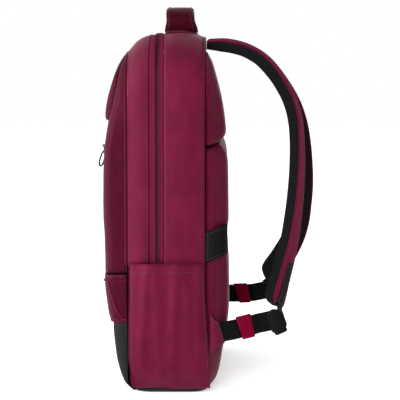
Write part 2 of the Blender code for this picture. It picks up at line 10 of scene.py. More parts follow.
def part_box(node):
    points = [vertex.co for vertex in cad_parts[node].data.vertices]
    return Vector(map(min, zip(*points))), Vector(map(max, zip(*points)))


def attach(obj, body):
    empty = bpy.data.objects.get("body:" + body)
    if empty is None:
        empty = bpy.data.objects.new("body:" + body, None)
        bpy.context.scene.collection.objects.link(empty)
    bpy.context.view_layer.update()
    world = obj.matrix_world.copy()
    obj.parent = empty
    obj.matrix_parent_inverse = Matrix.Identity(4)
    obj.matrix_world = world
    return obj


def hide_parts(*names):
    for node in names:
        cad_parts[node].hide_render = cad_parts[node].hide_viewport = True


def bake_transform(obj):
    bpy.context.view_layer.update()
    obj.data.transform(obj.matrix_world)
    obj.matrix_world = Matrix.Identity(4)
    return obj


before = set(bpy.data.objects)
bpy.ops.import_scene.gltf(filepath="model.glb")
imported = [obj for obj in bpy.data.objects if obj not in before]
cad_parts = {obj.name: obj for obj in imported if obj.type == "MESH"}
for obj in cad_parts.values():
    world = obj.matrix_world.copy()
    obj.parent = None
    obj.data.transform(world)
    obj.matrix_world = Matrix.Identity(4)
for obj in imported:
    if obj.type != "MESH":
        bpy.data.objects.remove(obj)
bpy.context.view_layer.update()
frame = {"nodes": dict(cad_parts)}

X, Y, Z = Vector((1, 0, 0)), Vector((0, 1, 0)), Vector((0, 0, 1))
SIDES = (("right", 1), ("left", -1))

# ---------------------------------------------------------------- sizes shared with the frame
HALF_WIDTH, TOP, CROWN, SHOULDER = 0.150, 0.446, 0.0030, 0.060
BACK_WALL = 0.0388
ZIP_LINE, ZIP_HALF, ZIP_END = -0.0192, 0.0090, 0.1630
COIL_PITCH = 0.0016
BAND_LOW, BAND_HIGH = 0.1650, 0.2030
SEAM_Y = -0.0572  # seam between the front gusset and the front pocket
FRONT_TOP, FRONT_SHOULDER = 0.4250, 0.055  # top of the front panel and the rounding of its upper corners
STRAP_AXIS = Vector((0.0, 0.0416, 0.4353))
WEB_INNER, WEB_OUTER = 0.3450, 0.3700
WEB_START, WEB_STRAIGHT, WEB_END = 2.4, 10.8, 13.6  # degrees round the strap axis

BOOT_PROFILE = ((0.0012, -0.0480), (0.0050, -0.0525), (0.0134, -0.0602), (0.0335, -0.0680), (0.0536, -0.0718),
                (0.0740, -0.0740), (0.0905, -0.0745))
LOW_POCKET_PROFILE = ((0.0905, -0.0765), (0.0960, -0.0790), (0.1037, -0.0806), (0.1238, -0.0832),
                      (0.1400, -0.0848), (0.1505, -0.0846))
POCKET_PROFILE = ((0.1522, -0.0842), (0.1780, -0.0842), (0.2029, -0.0847), (0.2358, -0.0862),
                  (0.2724, -0.0858), (0.3077, -0.0842), (0.3410, -0.0793), (0.3600, -0.0748),
                  (0.3730, -0.0720), (0.4045, -0.0650), (0.4148, -0.0614), (0.4236, -0.0584))
HOOD_PROFILE = ((0.3428, -0.0822), (0.3455, -0.0832), (0.3510, -0.0832), (0.3610, -0.0819),
                (0.3740, -0.0792), (0.3890, -0.0749), (0.4045, -0.0698), (0.4148, -0.0652),
                (0.4240, -0.0598))
TOP_PROFILE = ((-0.0572, 0.4238), (-0.0529, 0.4292), (-0.0430, 0.4382), (-0.0301, 0.4450),
               (-0.0207, 0.4470), (0.0000, 0.4472), (0.0300, 0.4448), (0.0388, 0.4415))
LOW_PAD_PROFILE = ((0.0040, 0.0520), (0.0120, 0.0572), (0.0400, 0.0618), (0.0640, 0.0665),
                   (0.1000, 0.0716), (0.1600, 0.0716), (0.2400, 0.0710), (0.2950, 0.0700),
                   (0.3100, 0.0685), (0.3165, 0.0615))
HIGH_PAD_PROFILE = ((0.3180, 0.0615), (0.3250, 0.0672), (0.3346, 0.0676), (0.3647, 0.0624),
                    (0.3947, 0.0548), (0.4200, 0.0474), (0.4290, 0.0430))
STRAP_LINE = ((0.0440, 0.4364), (0.0580, 0.4359), (0.0752, 0.4338), (0.0938, 0.4285),
              (0.1122, 0.4178), (0.1272, 0.4026), (0.1401, 0.3838), (0.1503, 0.3630),
              (0.1563, 0.3400), (0.1588, 0.3120), (0.1588, 0.2780), (0.1568, 0.2461),
              (0.1537, 0.2174), (0.1496, 0.1900), (0.1434, 0.1640), (0.1365, 0.1376),
              (0.1313, 0.1180), (0.1282, 0.1065))
STRAP_X, STRAP_WIDTH = (0.060, 0.106), (0.062, 0.046)
STRAP_TWIST = math.radians(27)
STRAP_SPLAY = {"right": 0.0, "left": 0.020}


def lerp(a, b, share):
    return a + (b - a) * share


def clamp(value, low=0.0, high=1.0):
    return max(low, min(high, value))


def ease(share):
    share = clamp(share)
    return share * share * (3 - 2 * share)


def along(profile, at):
    """A smooth curve through a profile's points (position, value)."""
    spots = [p[0] for p in profile]
    i = clamp(sum(1 for s in spots if s <= at) - 1, 0, len(spots) - 2)
    (x0, y0), (x1, y1) = profile[i], profile[i + 1]
    before, after = profile[max(i - 1, 0)], profile[min(i + 2, len(spots) - 1)]
    slope0 = (y1 - before[1]) / (x1 - before[0])
    slope1 = (after[1] - y0) / (after[0] - x0)
    t = clamp((at - x0) / (x1 - x0))
    span = x1 - x0
    return ((2 * t**3 - 3 * t**2 + 1) * y0 + (t**3 - 2 * t**2 + t) * span * slope0
            + (3 * t**2 - 2 * t**3) * y1 + (t**3 - t**2) * span * slope1)


def ripple(point, scale, seed=0.0):
    """Smooth noise from -1 to 1 whose waves are about `scale` metres long."""
    return noise.noise(Vector(point) / scale + Vector((seed, seed * 1.7, seed * 0.3)))


def through(points, at):
    """A smooth curve through points; `at` counts them from 0."""
    last = len(points) - 1
    k = min(int(at), last - 1)
    t = at - k
    a, b, c, d = [points[clamp(j, 0, last)] for j in (k - 1, k, k + 1, k + 2)]
    return 0.5 * (2 * b + (c - a) * t + (2 * a - 5 * b + 4 * c - d) * t * t + (3 * b - a - 3 * c + d) * t**3)


# ---------------------------------------------------------------- finishes
class Value:
    """A number that varies over a surface. Its arithmetic adds Math nodes."""

    def __init__(self, finish, socket):
        self.finish, self.socket = finish, socket

    def math(self, operation, *others):
        inputs = {i: other for i, other in enumerate(others)}
        return self.finish.node("ShaderNodeMath", {"operation": operation}, inputs)

    def __add__(self, other):
        return self.math("ADD", self, other)

    def __radd__(self, other):
        return self.math("ADD", other, self)

    def __sub__(self, other):
        return self.math("SUBTRACT", self, other)

    def __rsub__(self, other):
        return self.math("SUBTRACT", other, self)

    def __mul__(self, other):
        return self.math("MULTIPLY", self, other)

    def __rmul__(self, other):
        return self.math("MULTIPLY", other, self)

    def wave(self, pitch):
        """0 to 1 and back once in every `pitch`."""
        return self.math("SINE", self * (2 * math.pi / pitch)) * 0.5 + 0.5

    def between(self, low, high):
        return self.finish.node("ShaderNodeMapRange", {"interpolation_type": "SMOOTHSTEP"},
                                {"Value": self, "From Min": low, "From Max": high})


class Finish:
    """A material with one Principled shader, built node by node."""

    def __init__(self, name, **constants):
        self.material = bpy.data.materials.new(name)
        self.material.use_nodes = True
        self.tree = self.material.node_tree
        self.shader = self.tree.nodes["Principled BSDF"]
        for socket, value in constants.items():
            self.shader.inputs[socket.replace("_", " ")].default_value = value

    def node(self, kind, settings, inputs, output=0):
        made = self.tree.nodes.new(kind)
        for key, value in settings.items():
            if key == "ramp":
                while len(made.color_ramp.elements) < len(value):
                    made.color_ramp.elements.new(0.5)
                for stop, (place, colour) in zip(made.color_ramp.elements, value):
                    stop.position, stop.color = place, (*colour, 1.0)
            else:
                setattr(made, key, value)
        for key, value in inputs.items():
            if isinstance(value, Value):
                self.tree.links.new(value.socket, made.inputs[key])
            else:
                made.inputs[key].default_value = value
        return Value(self, made.outputs[output])

    def coordinates(self, kind="Object"):
        return self.node("ShaderNodeTexCoord", {}, {}, kind)

    def parts(self, vector):
        return [self.node("ShaderNodeSeparateXYZ", {}, {0: vector}, axis) for axis in ("X", "Y", "Z")]

    def noise(self, vector, size, detail=2.0, stretch=(1, 1, 1)):
        scaled = self.node("ShaderNodeVectorMath", {"operation": "MULTIPLY"}, {0: vector, 1: stretch})
        inputs = {"Vector": scaled, "Scale": 1 / size, "Detail": detail}
        return self.node("ShaderNodeTexNoise", {}, inputs, "Fac")

    def mix(self, share, first, second):
        """One colour to another by a value from 0 to 1."""
        settings = {"data_type": "RGBA"}
        first, second = [c if isinstance(c, Value) else (*c, 1.0) for c in (first, second)]
        return self.node("ShaderNodeMix", settings, {0: share, 6: first, 7: second}, 2)

    def feed(self, socket, value):
        self.tree.links.new(value.socket, self.shader.inputs[socket])

    def relief(self, height, depth):
        """Raises the surface by `height`, whose 1 stands for `depth` metres."""
        bump = self.node("ShaderNodeBump", {}, {"Height": height, "Strength": 1.0, "Distance": depth})
        self.feed("Normal", bump)


def srgb(*parts):
    """Screen values from 0 to 255 as the shader's linear ones."""
    return tuple((c / 255 / 12.92) if c <= 10 else ((c / 255 + 0.055) / 1.055) ** 2.4 for c in parts)


def shaded(colour, strength):
    return [c * strength for c in colour]


def coated_cloth(name, colour, deep, rough=0.46, sheen=0.06, kind="UV", thread=0.00055, crumple=0.0006,
                 tint=(0.9, 0.15, 0.32), gloss=0.2):
    """Plain-woven polyester with a satin coating: crossing threads, faint creases, slight shade changes."""
    cloth = Finish(name, Sheen_Weight=sheen, Sheen_Roughness=0.45, Specular_IOR_Level=gloss)
    cloth.shader.inputs["Sheen Tint"].default_value = (*tint, 1.0)
    cloth.shader.inputs["Specular Tint"].default_value = (*tint, 1.0)
    place = cloth.coordinates(kind)
    x, y, z = cloth.parts(place)
    if kind == "Object":
        warp, weft = (x + y).wave(thread), z.wave(thread)
    else:
        warp, weft = x.wave(thread), y.wave(thread)
    solid = cloth.coordinates("Object")
    broad = cloth.noise(solid, 0.045, 3.0)
    crease = cloth.noise(solid, 0.012, 4.0, (1, 1, 0.55))
    shade = broad * 0.65 + crease * 0.35
    cloth.feed("Base Color", cloth.mix(shade.between(0.30, 0.72), deep, colour))
    cloth.feed("Roughness", crease * 0.16 + (rough - 0.08))
    folds = crumple / 0.001
    cloth.relief((warp + weft) * 0.05 + crease * folds * 1.5 + broad * folds * 2.4, 0.001)
    return cloth.material


def ribbed_band(name, colour, pitch=0.0022, across="Y"):
    """Webbing: close ribs across the band and a fine twill between them; the ribs' crests are painted lighter
    and their grooves darker as painted shade, over a random fuzz tone.
    """
    band = Finish(name, Sheen_Weight=0.0, Sheen_Roughness=0.5, Specular_IOR_Level=0.02)
    x, y = band.parts(band.coordinates("UV"))[:2]
    run, wide = (x, y) if across == "X" else (y, x)
    ribs, twill = run.wave(pitch), (run + wide).wave(0.0011)
    fuzz = band.noise(band.coordinates("Object"), 0.004, 3.0)
    # painted shade: the grooves between ribs are darkened and the crests lightened; the fuzz is random tone
    band.feed("Base Color", band.mix(ribs * 0.6 + fuzz * 0.4, shaded(colour, 0.55), shaded(colour, 1.25)))
    band.feed("Roughness", 0.72 - ribs * 0.18)
    band.relief(ribs * 0.22 + twill * 0.08 + fuzz * 0.06, 0.001)
    return band.material


def spacer_mesh(name, colour):
    """Knitted air mesh: rows of small open cells, painted darker in their middles as painted shade in the
    holes.
    """
    knit = Finish(name, Roughness=0.9, Sheen_Weight=0.015, Specular_IOR_Level=0.04)
    place = knit.coordinates("UV")
    cells = knit.node("ShaderNodeTexVoronoi", {"feature": "F1"},
                      {"Vector": place, "Scale": 1 / 0.0024, "Randomness": 0.25})
    hole = cells.between(0.12, 0.42)
    # painted shade: the open cells are darkened to 0.3 of the mesh colour
    knit.feed("Base Color", knit.mix(hole, shaded(colour, 0.3), colour))
    knit.relief(hole * 0.5, 0.001)
    return knit.material


def rubbered_cloth(name, colour):
    """Black base cloth with a grained rubber coating."""
    base = Finish(name, Specular_IOR_Level=0.05)
    place = base.coordinates("Object")
    grain = base.node("ShaderNodeTexVoronoi", {"feature": "SMOOTH_F1"},
                      {"Vector": place, "Scale": 1 / 0.0016})
    broad = base.noise(place, 0.03, 4.0)
    base.feed("Base Color", base.mix(broad, shaded(colour, 0.75), shaded(colour, 1.2)))
    base.feed("Roughness", broad * 0.2 + 0.42)
    base.relief(grain * 0.10 + broad * 0.5, 0.001)
    return base.material


def moulded_plastic(name, colour, rough=0.38, gloss=0.4):
    plastic = Finish(name, Specular_IOR_Level=gloss)
    place = plastic.coordinates("Object")
    grain = plastic.noise(place, 0.0009, 2.0)
    wear = plastic.noise(place, 0.01, 3.0)
    plastic.feed("Base Color", plastic.mix(wear, shaded(colour, 0.85), shaded(colour, 1.15)))
    plastic.feed("Roughness", wear * 0.15 + rough)
    plastic.relief(grain * 0.06, 0.001)
    return plastic.material


def plated_metal(name, colour, rough=0.28):
    metal = Finish(name, Metallic=1.0)
    place = metal.coordinates("Object")
    brush = metal.noise(place, 0.0012, 3.0, (1, 1, 6))
    metal.feed("Base Color", metal.mix(brush, shaded(colour, 0.8), colour))
    metal.feed("Roughness", brush * 0.18 + rough)
    return metal.material


def thread_finish(name, colour):
    thread = Finish(name, Specular_IOR_Level=0.4)
    place = thread.coordinates("Object")
    twist = thread.noise(place, 0.0006, 2.0)
    thread.feed("Base Color", thread.mix(twist, shaded(colour, 0.7), shaded(colour, 1.2)))
    thread.feed("Roughness", twist * 0.2 + 0.5)
    return thread.material


CLARET = coated_cloth("claret cloth", srgb(69, 8, 30), srgb(57, 5, 23))
CLARET_PAD = coated_cloth("claret pad cloth", srgb(68, 7, 28), srgb(56, 5, 22), kind="Object")
GUSSET = coated_cloth("front gusset cloth", srgb(71, 13, 34), srgb(60, 9, 27))
POCKET_SIDE = coated_cloth("front pocket cloth", srgb(42, 1, 12), srgb(34, 1, 9), rough=0.42)
HANDLE_CLOTH = coated_cloth("handle cloth", srgb(38, 1, 9), srgb(31, 1, 6), rough=0.5, gloss=0.1)
STRAP_CLOTH = coated_cloth("strap cloth", srgb(94, 9, 42), srgb(80, 7, 34), rough=0.65, sheen=0.0,
                           gloss=0.008)
KEEPER_CLOTH = coated_cloth("keeper cloth", srgb(100, 3, 32), srgb(86, 2, 27), rough=0.6, sheen=0.0,
                            gloss=0.05)
LINING = coated_cloth("lining cloth", srgb(60, 20, 34), srgb(50, 16, 28), rough=0.6, crumple=0.0003)
GREY_LINING = coated_cloth("grey lining", srgb(70, 70, 74), srgb(58, 58, 62), rough=0.65, crumple=0.0003,
                           tint=(1, 1, 1))
TAPE = ribbed_band("zip tape", srgb(83, 15, 42), pitch=0.0009)
COIL = moulded_plastic("zip coil", srgb(44, 5, 20), 0.55, 0.05)
WEB = ribbed_band("black webbing", srgb(13, 13, 15))
BAND = ribbed_band("luggage band webbing", srgb(15, 15, 16), pitch=0.0030, across="X")
MESH = spacer_mesh("black spacer mesh", srgb(13, 13, 16))
BINDING = coated_cloth("black binding", srgb(16, 15, 17), srgb(11, 11, 12), rough=0.6, kind="Object",
                       crumple=0.0002, tint=(1, 1, 1), gloss=0.08)
RUBBER = rubbered_cloth("black rubbered cloth", srgb(20, 20, 20))
PLASTIC = moulded_plastic("black plastic", srgb(12, 12, 14), gloss=0.12)
BOARD = moulded_plastic("pale board", srgb(104, 104, 101), 0.6, 0.1)
METAL = plated_metal("dark plated metal", srgb(60, 58, 60))
PIPING = coated_cloth("piping cloth", srgb(66, 8, 30), srgb(56, 5, 24), rough=0.5, kind="Object",
                      crumple=0.0002, gloss=0.1)
THREAD = thread_finish("claret thread", srgb(62, 8, 27))
BLACK_THREAD = thread_finish("black thread", srgb(18, 18, 20))


# ---------------------------------------------------------------- making pieces
def hand_in(bm, name, look, body, stands_for=(), smooth=True, wall=0.0, outward=False):
    """Makes a finished piece of a bmesh and puts it on its body."""
    if outward:
        bmesh.ops.remove_doubles(bm, verts=bm.verts, dist=0.00002)
        bmesh.ops.recalc_face_normals(bm, faces=bm.faces)
    for face in bm.faces:
        face.smooth = smooth
    mesh = bpy.data.meshes.new(name)
    bm.to_mesh(mesh)
    bm.free()
    mesh.materials.append(look)
    piece = bpy.data.objects.new(name, mesh)
    bpy.context.scene.collection.objects.link(piece)
    if wall:
        thick = piece.modifiers.new("Wall", "SOLIDIFY")
        thick.thickness, thick.offset = wall, -1
    if stands_for:
        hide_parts(*stands_for)
    if body:
        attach(piece, body)
    return piece


def cloth_grid(across, up, measure):
    """A flat grid, 1 by 1, with a UV map in metres; measure(u, w) gives it for shares of the grid."""
    bm = bmesh.new()
    bm.loops.layers.uv.new("UVMap")
    bmesh.ops.create_grid(bm, x_segments=across, y_segments=up, size=0.5, calc_uvs=True)
    layer = bm.loops.layers.uv.active
    for face in bm.faces:
        for loop in face.loops:
            loop[layer].uv = measure(loop.vert.co.x + 0.5, loop.vert.co.y + 0.5)
    return bm


def close_ends(bm, gap, sides, ends=True):
    """Joins a rolled-up grid along its seam, fills its ends and turns its faces outwards."""
    bmesh.ops.remove_doubles(bm, verts=bm.verts, dist=gap)
    if ends:
        bmesh.ops.holes_fill(bm, edges=[e for e in bm.edges if e.is_boundary], sides=sides + 2)
    bmesh.ops.recalc_face_normals(bm, faces=bm.faces)


class Surface:
    """A piece of cloth in space: place(u, w) gives its point for u and w from 0 to 1."""

    def __init__(self, place, wide, tall, flip=False):
        self.place, self.wide, self.tall, self.flip = place, wide, tall, flip

    def at(self, u, w, lift=0.0):
        point = self.place(u, w)
        return point + self.normal(u, w) * lift if lift else point

    def normal(self, u, w):
        step = 0.002
        du = self.place(min(u + step, 1), w) - self.place(max(u - step, 0), w)
        dw = self.place(u, min(w + step, 1)) - self.place(u, max(w - step, 0))
        normal = du.cross(dw)
        normal.normalize()
        return -normal if self.flip else normal

    def panel(self, name, across, up, look, body, stands_for=(), wall=0.0014):
        bm = cloth_grid(across, up, lambda u, w: (u * self.wide, w * self.tall))
        for vert in bm.verts:
            vert.co = self.place(vert.co.x + 0.5, vert.co.y + 0.5)
        if self.flip:
            bmesh.ops.reverse_faces(bm, faces=bm.faces)
        return hand_in(bm, name, look, body, stands_for, wall=wall)

    def upright(self, low, high, *shares):
        """Lines for stitches() up the cloth, at each share of its width."""
        return [(self, [(u, low), (u, high)]) for u in shares]

    def level(self, low, high, *shares):
        """Lines for stitches() across the cloth, at each share of its height."""
        return [(self, [(low, w), (high, w)]) for w in shares]

    def run(self, corners, spacing):
        """(point, normal, direction) at even steps along a line through corners (u, w)."""
        fine = []
        for (u0, w0), (u1, w1) in zip(corners, corners[1:]):
            for i in range(60):
                fine.append((lerp(u0, u1, i / 60), lerp(w0, w1, i / 60)))
        fine.append(corners[-1])
        points = [self.place(u, w) for u, w in fine]
        spots, travelled, due = [], 0.0, 0.0
        for i in range(1, len(points)):
            step = (points[i] - points[i - 1]).length
            while step > 0 and travelled + step >= due:
                share = (due - travelled) / step
                u, w = lerp(fine[i - 1][0], fine[i][0], share), lerp(fine[i - 1][1], fine[i][1], share)
                spots.append((points[i - 1].lerp(points[i], share), self.normal(u, w),
                              (points[i] - points[i - 1]).normalized()))
                due += spacing
            travelled += step
        return spots


def stitches(name, runs, body, look=None, long=0.0026, thick=0.00055, pitch=0.0042, lift=0.0001):
    """Rows of thread on surfaces. runs is a list of (surface, corners)."""
    bm = bmesh.new()
    for surface, corners in runs:
        for point, normal, direction in surface.run(corners, pitch):
            side = normal.cross(direction)
            turn = Matrix((direction, side, normal)).transposed().to_4x4()
            place = Matrix.Translation(point + normal * lift) @ turn
            bmesh.ops.create_cube(bm, size=1.0, matrix=place @ Matrix.Diagonal((long, thick, thick, 1)))
    return hand_in(bm, name, look or THREAD, body, smooth=False)


def tube(name, points, radius, look, body, stands_for=(), cyclic=False, sides=8, up=None):
    """A round cord swept along points, closed at both ends."""
    count = len(points)
    rows = count if cyclic else count - 1
    length = sum((points[i + 1] - points[i]).length for i in range(count - 1))
    bm = cloth_grid(sides, rows, lambda u, w: (u * radius * 6.28, w * length))
    frames, normal = [], None
    for i, at in enumerate(points):
        ahead = points[(i + 1) % count] if cyclic else points[min(i + 1, count - 1)]
        behind = points[i - 1] if cyclic or i else points[0]
        direction = (ahead - behind).normalized()
        guide = up or normal or (Z if abs(direction.z) < 0.9 else X)
        normal = (guide - direction * guide.dot(direction)).normalized()
        frames.append((at, normal, normal.cross(direction)))
    for vert in bm.verts:
        angle = (vert.co.x + 0.5) * 2 * math.pi
        at, normal, side = frames[round((vert.co.y + 0.5) * rows) % count]
        vert.co = at + normal * math.cos(angle) * radius + side * math.sin(angle) * radius
    close_ends(bm, radius * 0.02, sides, ends=not cyclic)
    return hand_in(bm, name, look, body, stands_for)


def add_box(bm, size, matrix, round_edge=0.0, segments=2):
    made = bmesh.ops.create_cube(bm, size=1.0, matrix=matrix @ Matrix.Diagonal((*size, 1)))
    if round_edge:
        edges = list({e for v in made["verts"] for e in v.link_edges})
        bmesh.ops.bevel(bm, geom=edges, offset=round_edge, affect="EDGES", segments=segments, profile=0.5,
                        material=-1)


def frame_matrix(origin, x_axis, y_axis, z_axis):
    return Matrix.Translation(origin) @ Matrix((x_axis, y_axis, z_axis)).transposed().to_4x4()


# ---------------------------------------------------------------- outlines of the bag
def half_at(z, half=HALF_WIDTH, top=TOP, radius=SHOULDER):
    """Half the width at height z, drawn in at the base and rounded at the shoulders."""
    if z < 0.035:
        return half - 0.007 * (1 - z / 0.035) ** 2
    lift = clamp(z - (top - radius), 0, radius)
    return half - radius + math.sqrt(radius**2 - lift**2)


def arch_point(t, half, top, foot, radius=SHOULDER):
    """(x, z, outward x, outward z) at share t up the right side, over the top and down the left."""
    side, corner, crown = top - radius - foot, radius * math.pi / 2, 2 * (half - radius)
    distance = t * (2 * side + 2 * corner + crown)
    mirror = distance > side + corner + crown / 2
    if mirror:
        distance = 2 * side + 2 * corner + crown - distance
    if distance < side:
        z = foot + distance
        x, nx, nz = half_at(z, half, top, radius), 1.0, 0.0
    elif distance < side + corner:
        angle = (distance - side) / radius
        x, z = half - radius + radius * math.cos(angle), top - radius + radius * math.sin(angle)
        nx, nz = math.cos(angle), math.sin(angle)
    else:
        x, z, nx, nz = (side + corner + crown / 2) - distance, top, 0.0, 1.0
    z += CROWN * clamp(1 - (x / (half - radius * 0.5)) ** 2)
    return (-x if mirror else x), z, (-nx if mirror else nx), nz


def arch_strip(front, back, foot, puff=0.0, shrink=0.0, seed=1.0, crumple=0.0010, offset=0.0):
    """A strip that runs up one side, over the top and down the other, from Y front to Y back."""

    def place(u, w):
        y = lerp(front, back, u)
        top = along(TOP_PROFILE, y)
        half = HALF_WIDTH - shrink * (1 - ease((y - front) / (back - front))) * (1 if front < -0.04 else 0)
        x, z, nx, nz = arch_point(w, half, top, foot)
        swell = puff * math.sin(math.pi * u) ** 0.75 if 0 < u < 1 else 0.0
        wave = crumple * (ripple((x, y, z), 0.055, seed) + 0.5 * ripple((x, y, z), 0.022, seed + 3))
        lift = swell + wave * min(1.0, 6 * min(u, 1 - u)) + offset
        return Vector((x + nx * lift, y, z + nz * lift))

    length = 2 * (TOP - SHOULDER - foot) + SHOULDER * math.pi + 2 * (HALF_WIDTH - SHOULDER)
    return Surface(place, abs(back - front), length)


def round_front(u, half, front, back, radius, marks):
    """(x, y, outward x, outward y) at share u of a row of cloth that goes round the front.

    It runs from the left seam to the right one; its left corner lies between the two shares in marks."""
    share = min(u, 1 - u)
    if share < marks[0]:
        x, y, nx, ny = -half, back - (back - front - radius) * share / marks[0], -1.0, 0.0
    elif share < marks[1]:
        angle = (share - marks[0]) / (marks[1] - marks[0]) * math.pi / 2
        nx, ny = -math.cos(angle), -math.sin(angle)
        x, y = -half + radius + radius * nx, front + radius + radius * ny
    else:
        x, y, nx, ny = (radius - half) * (0.5 - share) / (0.5 - marks[1]), front, 0.0, -1.0
    return (-x, y, -nx, ny) if u > 0.5 else (x, y, nx, ny)


def front_wrap(profile, half, back, radius, seed=1.0, crumple=0.0005, low=None):
    """Cloth wrapped round the front from the left seam to the right, between two heights."""
    low = profile[0][0] if low is None else low
    high = profile[-1][0]
    bend = lerp(low, high, 0.4)

    def place(u, w):
        z = lerp(low, high, w)
        if high > FRONT_TOP - FRONT_SHOULDER and w > 0.4:
            z = bend + (high - bend) * math.sin((w - 0.4) / 0.6 * math.pi / 2)
        front = along(profile, z)
        wall_back = max(back, front + 0.0006)
        corner = min(radius, (wall_back - front) * 0.92)
        side_x = half_at(z, half, FRONT_TOP, FRONT_SHOULDER)
        x, y, nx, ny = round_front(u, side_x, front, wall_back, corner, (0.06, 0.12))
        wave = crumple * (ripple((x, y, z), 0.06, seed) + 0.5 * ripple((x, y, z), 0.02, seed + 5))
        lift = wave * min(1.0, 8 * min(w, 1 - w), 20 * min(u, 1 - u))
        return Vector((x + nx * lift, y + ny * lift, z))

    return Surface(place, 2 * half + 0.05, high - low)


# ---------------------------------------------------------------- walls of the bag
rear_strip = arch_strip(-0.0100, BACK_WALL, 0.0050, puff=0.0028, seed=2.0, crumple=0.0011)
rear_strip.panel("rear_gusset_cloth", 18, 190, CLARET, "bag", ["rear_gusset"], wall=0.0022)
front_strip = arch_strip(-0.0570, -0.0284, ZIP_END, puff=0.0020, shrink=0.0022, seed=5.0, crumple=0.0008)
front_strip.panel("front_gusset_cloth", 12, 150, GUSSET, "front", ["front_gusset"], wall=0.0020)

gusset_seams = rear_strip.upright(0.165, 0.835, 0.045) + rear_strip.upright(0.01, 0.99, 0.955)
stitches("gusset_stitching", gusset_seams, "bag")
stitches("front_gusset_stitching", front_strip.upright(0.0, 1.0, 0.93, 0.10), "front")


def arch_cord(name, y, foot, shrink, radius, look, body):
    """Piping sewn into a seam that follows the bag's outline."""
    points = []
    for i in range(161):
        x, z = arch_point(i / 160, HALF_WIDTH - shrink, along(TOP_PROFILE, y), foot)[:2]
        points.append(Vector((x, y, z)))
    return tube(name, points, radius, look, body, up=Y)


arch_cord("rear_seam_piping", BACK_WALL + 0.0006, 0.0060, 0.0004, 0.0017, PIPING, "bag")
arch_cord("front_seam_piping", SEAM_Y - 0.0004, ZIP_END, 0.0016, 0.0016, PIPING, "front")

# ---------------------------------------------------------------- main zip
def zip_tape_half(name, edge, far, body, node):
    tape = arch_strip(min(edge, far), max(edge, far), ZIP_END, crumple=0.00015, seed=9.0, offset=-0.0004)
    tape.panel(name, 6, 150, TAPE, body, [node], wall=0.0007)
    near_u = 1.0 if edge > far else 0.0
    sew_u = 0.72 if edge > far else 0.28
    stitches(name + "_stitching", tape.upright(0.0, 1.0, sew_u), body, pitch=0.0036)
    bm = bmesh.new()
    toward = -1 if edge > far else 1
    for point, normal, direction in tape.run([(near_u, 0.0), (near_u, 1.0)], COIL_PITCH):
        middle = point + normal * 0.0006 + Y * toward * 0.0011
        turn = Matrix((direction, Y, normal)).transposed().to_4x4()
        place = Matrix.Translation(middle) @ turn @ Matrix.Diagonal((0.00105, 0.0023, 0.0013, 1))
        bmesh.ops.create_cube(bm, size=1.0, matrix=place)
    hand_in(bm, name + "_coil", COIL, body, smooth=False)


zip_tape_half("main_zip_front", ZIP_LINE - 0.00015, ZIP_LINE - ZIP_HALF, "front", "main_zip_front_half")
zip_tape_half("main_zip_rear", ZIP_LINE + 0.00015, ZIP_LINE + ZIP_HALF, "bag", "main_zip_rear_half")

# ---------------------------------------------------------------- front pocket and hood
front_face = front_wrap(POCKET_PROFILE, 0.1458, SEAM_Y - 0.0006, 0.0095, seed=11.0, crumple=0.0009)
front_face.panel("front_pocket_cloth", 120, 60, POCKET_SIDE, "front", ["front_pocket"])


def hood_surface(profile, depth_at):
    def place(u, w):
        z = profile[0][0] + (profile[-1][0] - profile[0][0]) * math.sin(w * math.pi / 2)
        front, depth = along(profile, z), max(0.0008, depth_at(z))
        side_x, corner = half_at(z, 0.1352, FRONT_TOP, 0.048), min(0.006, depth * 0.9)
        x, y, nx, ny = round_front(u, side_x, front, front + depth, corner, (0.04, 0.09))
        wave = 0.0006 * (ripple((x, y, z), 0.06, 21.0) + 0.5 * ripple((x, y, z), 0.02, 26.0))
        wave *= min(1, 20 * min(u, 1 - u))
        return Vector((x + nx * wave, y + ny * wave, z))

    return Surface(place, 0.29, 0.085)


def hood_depth(z):
    lip = 0.0042 * (1 - ease((z - 0.345) / 0.05))
    return along(POCKET_PROFILE, z) - 0.0006 - along(HOOD_PROFILE, z) + lip


hood = hood_surface(HOOD_PROFILE, hood_depth)
hood.panel("hood_cloth", 110, 26, POCKET_SIDE, "front", ["hood_pocket"], wall=0.0013)
stitches("hood_stitching", hood.level(0.095, 0.905, 0.07, 0.11), "front")

# blank badge on the hood
badge_y = along(HOOD_PROFILE, 0.3870) - 0.0007
badge_turn = Matrix.Translation((0, badge_y, 0.3870)) @ Matrix.Rotation(-math.atan2(0.0094, 0.029), 4, "X")
bm = bmesh.new()
add_box(bm, (0.040, 0.0014, 0.029), badge_turn, 0.0005, 3)
hand_in(bm, "badge_plate", PLASTIC, "front", ["badge"], smooth=False)

# ---------------------------------------------------------------- front zip
FRONT_ZIP_X = 0.062


def front_zip_point(z, lift=0.0):
    return Vector((FRONT_ZIP_X, along(POCKET_PROFILE, z) - 0.0004 - lift, z))


def front_tape(side):
    def place(u, w):
        z = lerp(0.1750, 0.3160, w)
        across = lerp(0.00015, 0.0105, u) if side > 0 else lerp(-0.0105, -0.00015, u)
        return front_zip_point(z, 0.0012) + X * across

    return Surface(place, 0.0105, 0.141)


for label, side in SIDES:
    tape = front_tape(side)
    stands_for, sewn, inner = (["front_zip"], 0.75, 0.0) if side > 0 else ((), 0.25, 1.0)
    tape.panel("front_zip_tape_" + label, 4, 40, TAPE, "front", stands_for, wall=0.0007)
    stitches("front_zip_stitching_" + label, tape.upright(0.01, 0.99, sewn), "front", pitch=0.0036)
    bm = bmesh.new()
    for point, normal, direction in tape.run([(inner, 0.02), (inner, 0.98)], COIL_PITCH):
        turn = Matrix((direction, X, normal)).transposed().to_4x4()
        place = Matrix.Translation(point + normal * 0.0005 + X * side * 0.0011) @ turn
        bmesh.ops.create_cube(bm, size=1.0, matrix=place @ Matrix.Diagonal((0.00105, 0.0022, 0.0011, 1)))
    hand_in(bm, "front_zip_coil_" + label, COIL, "front", smooth=False)


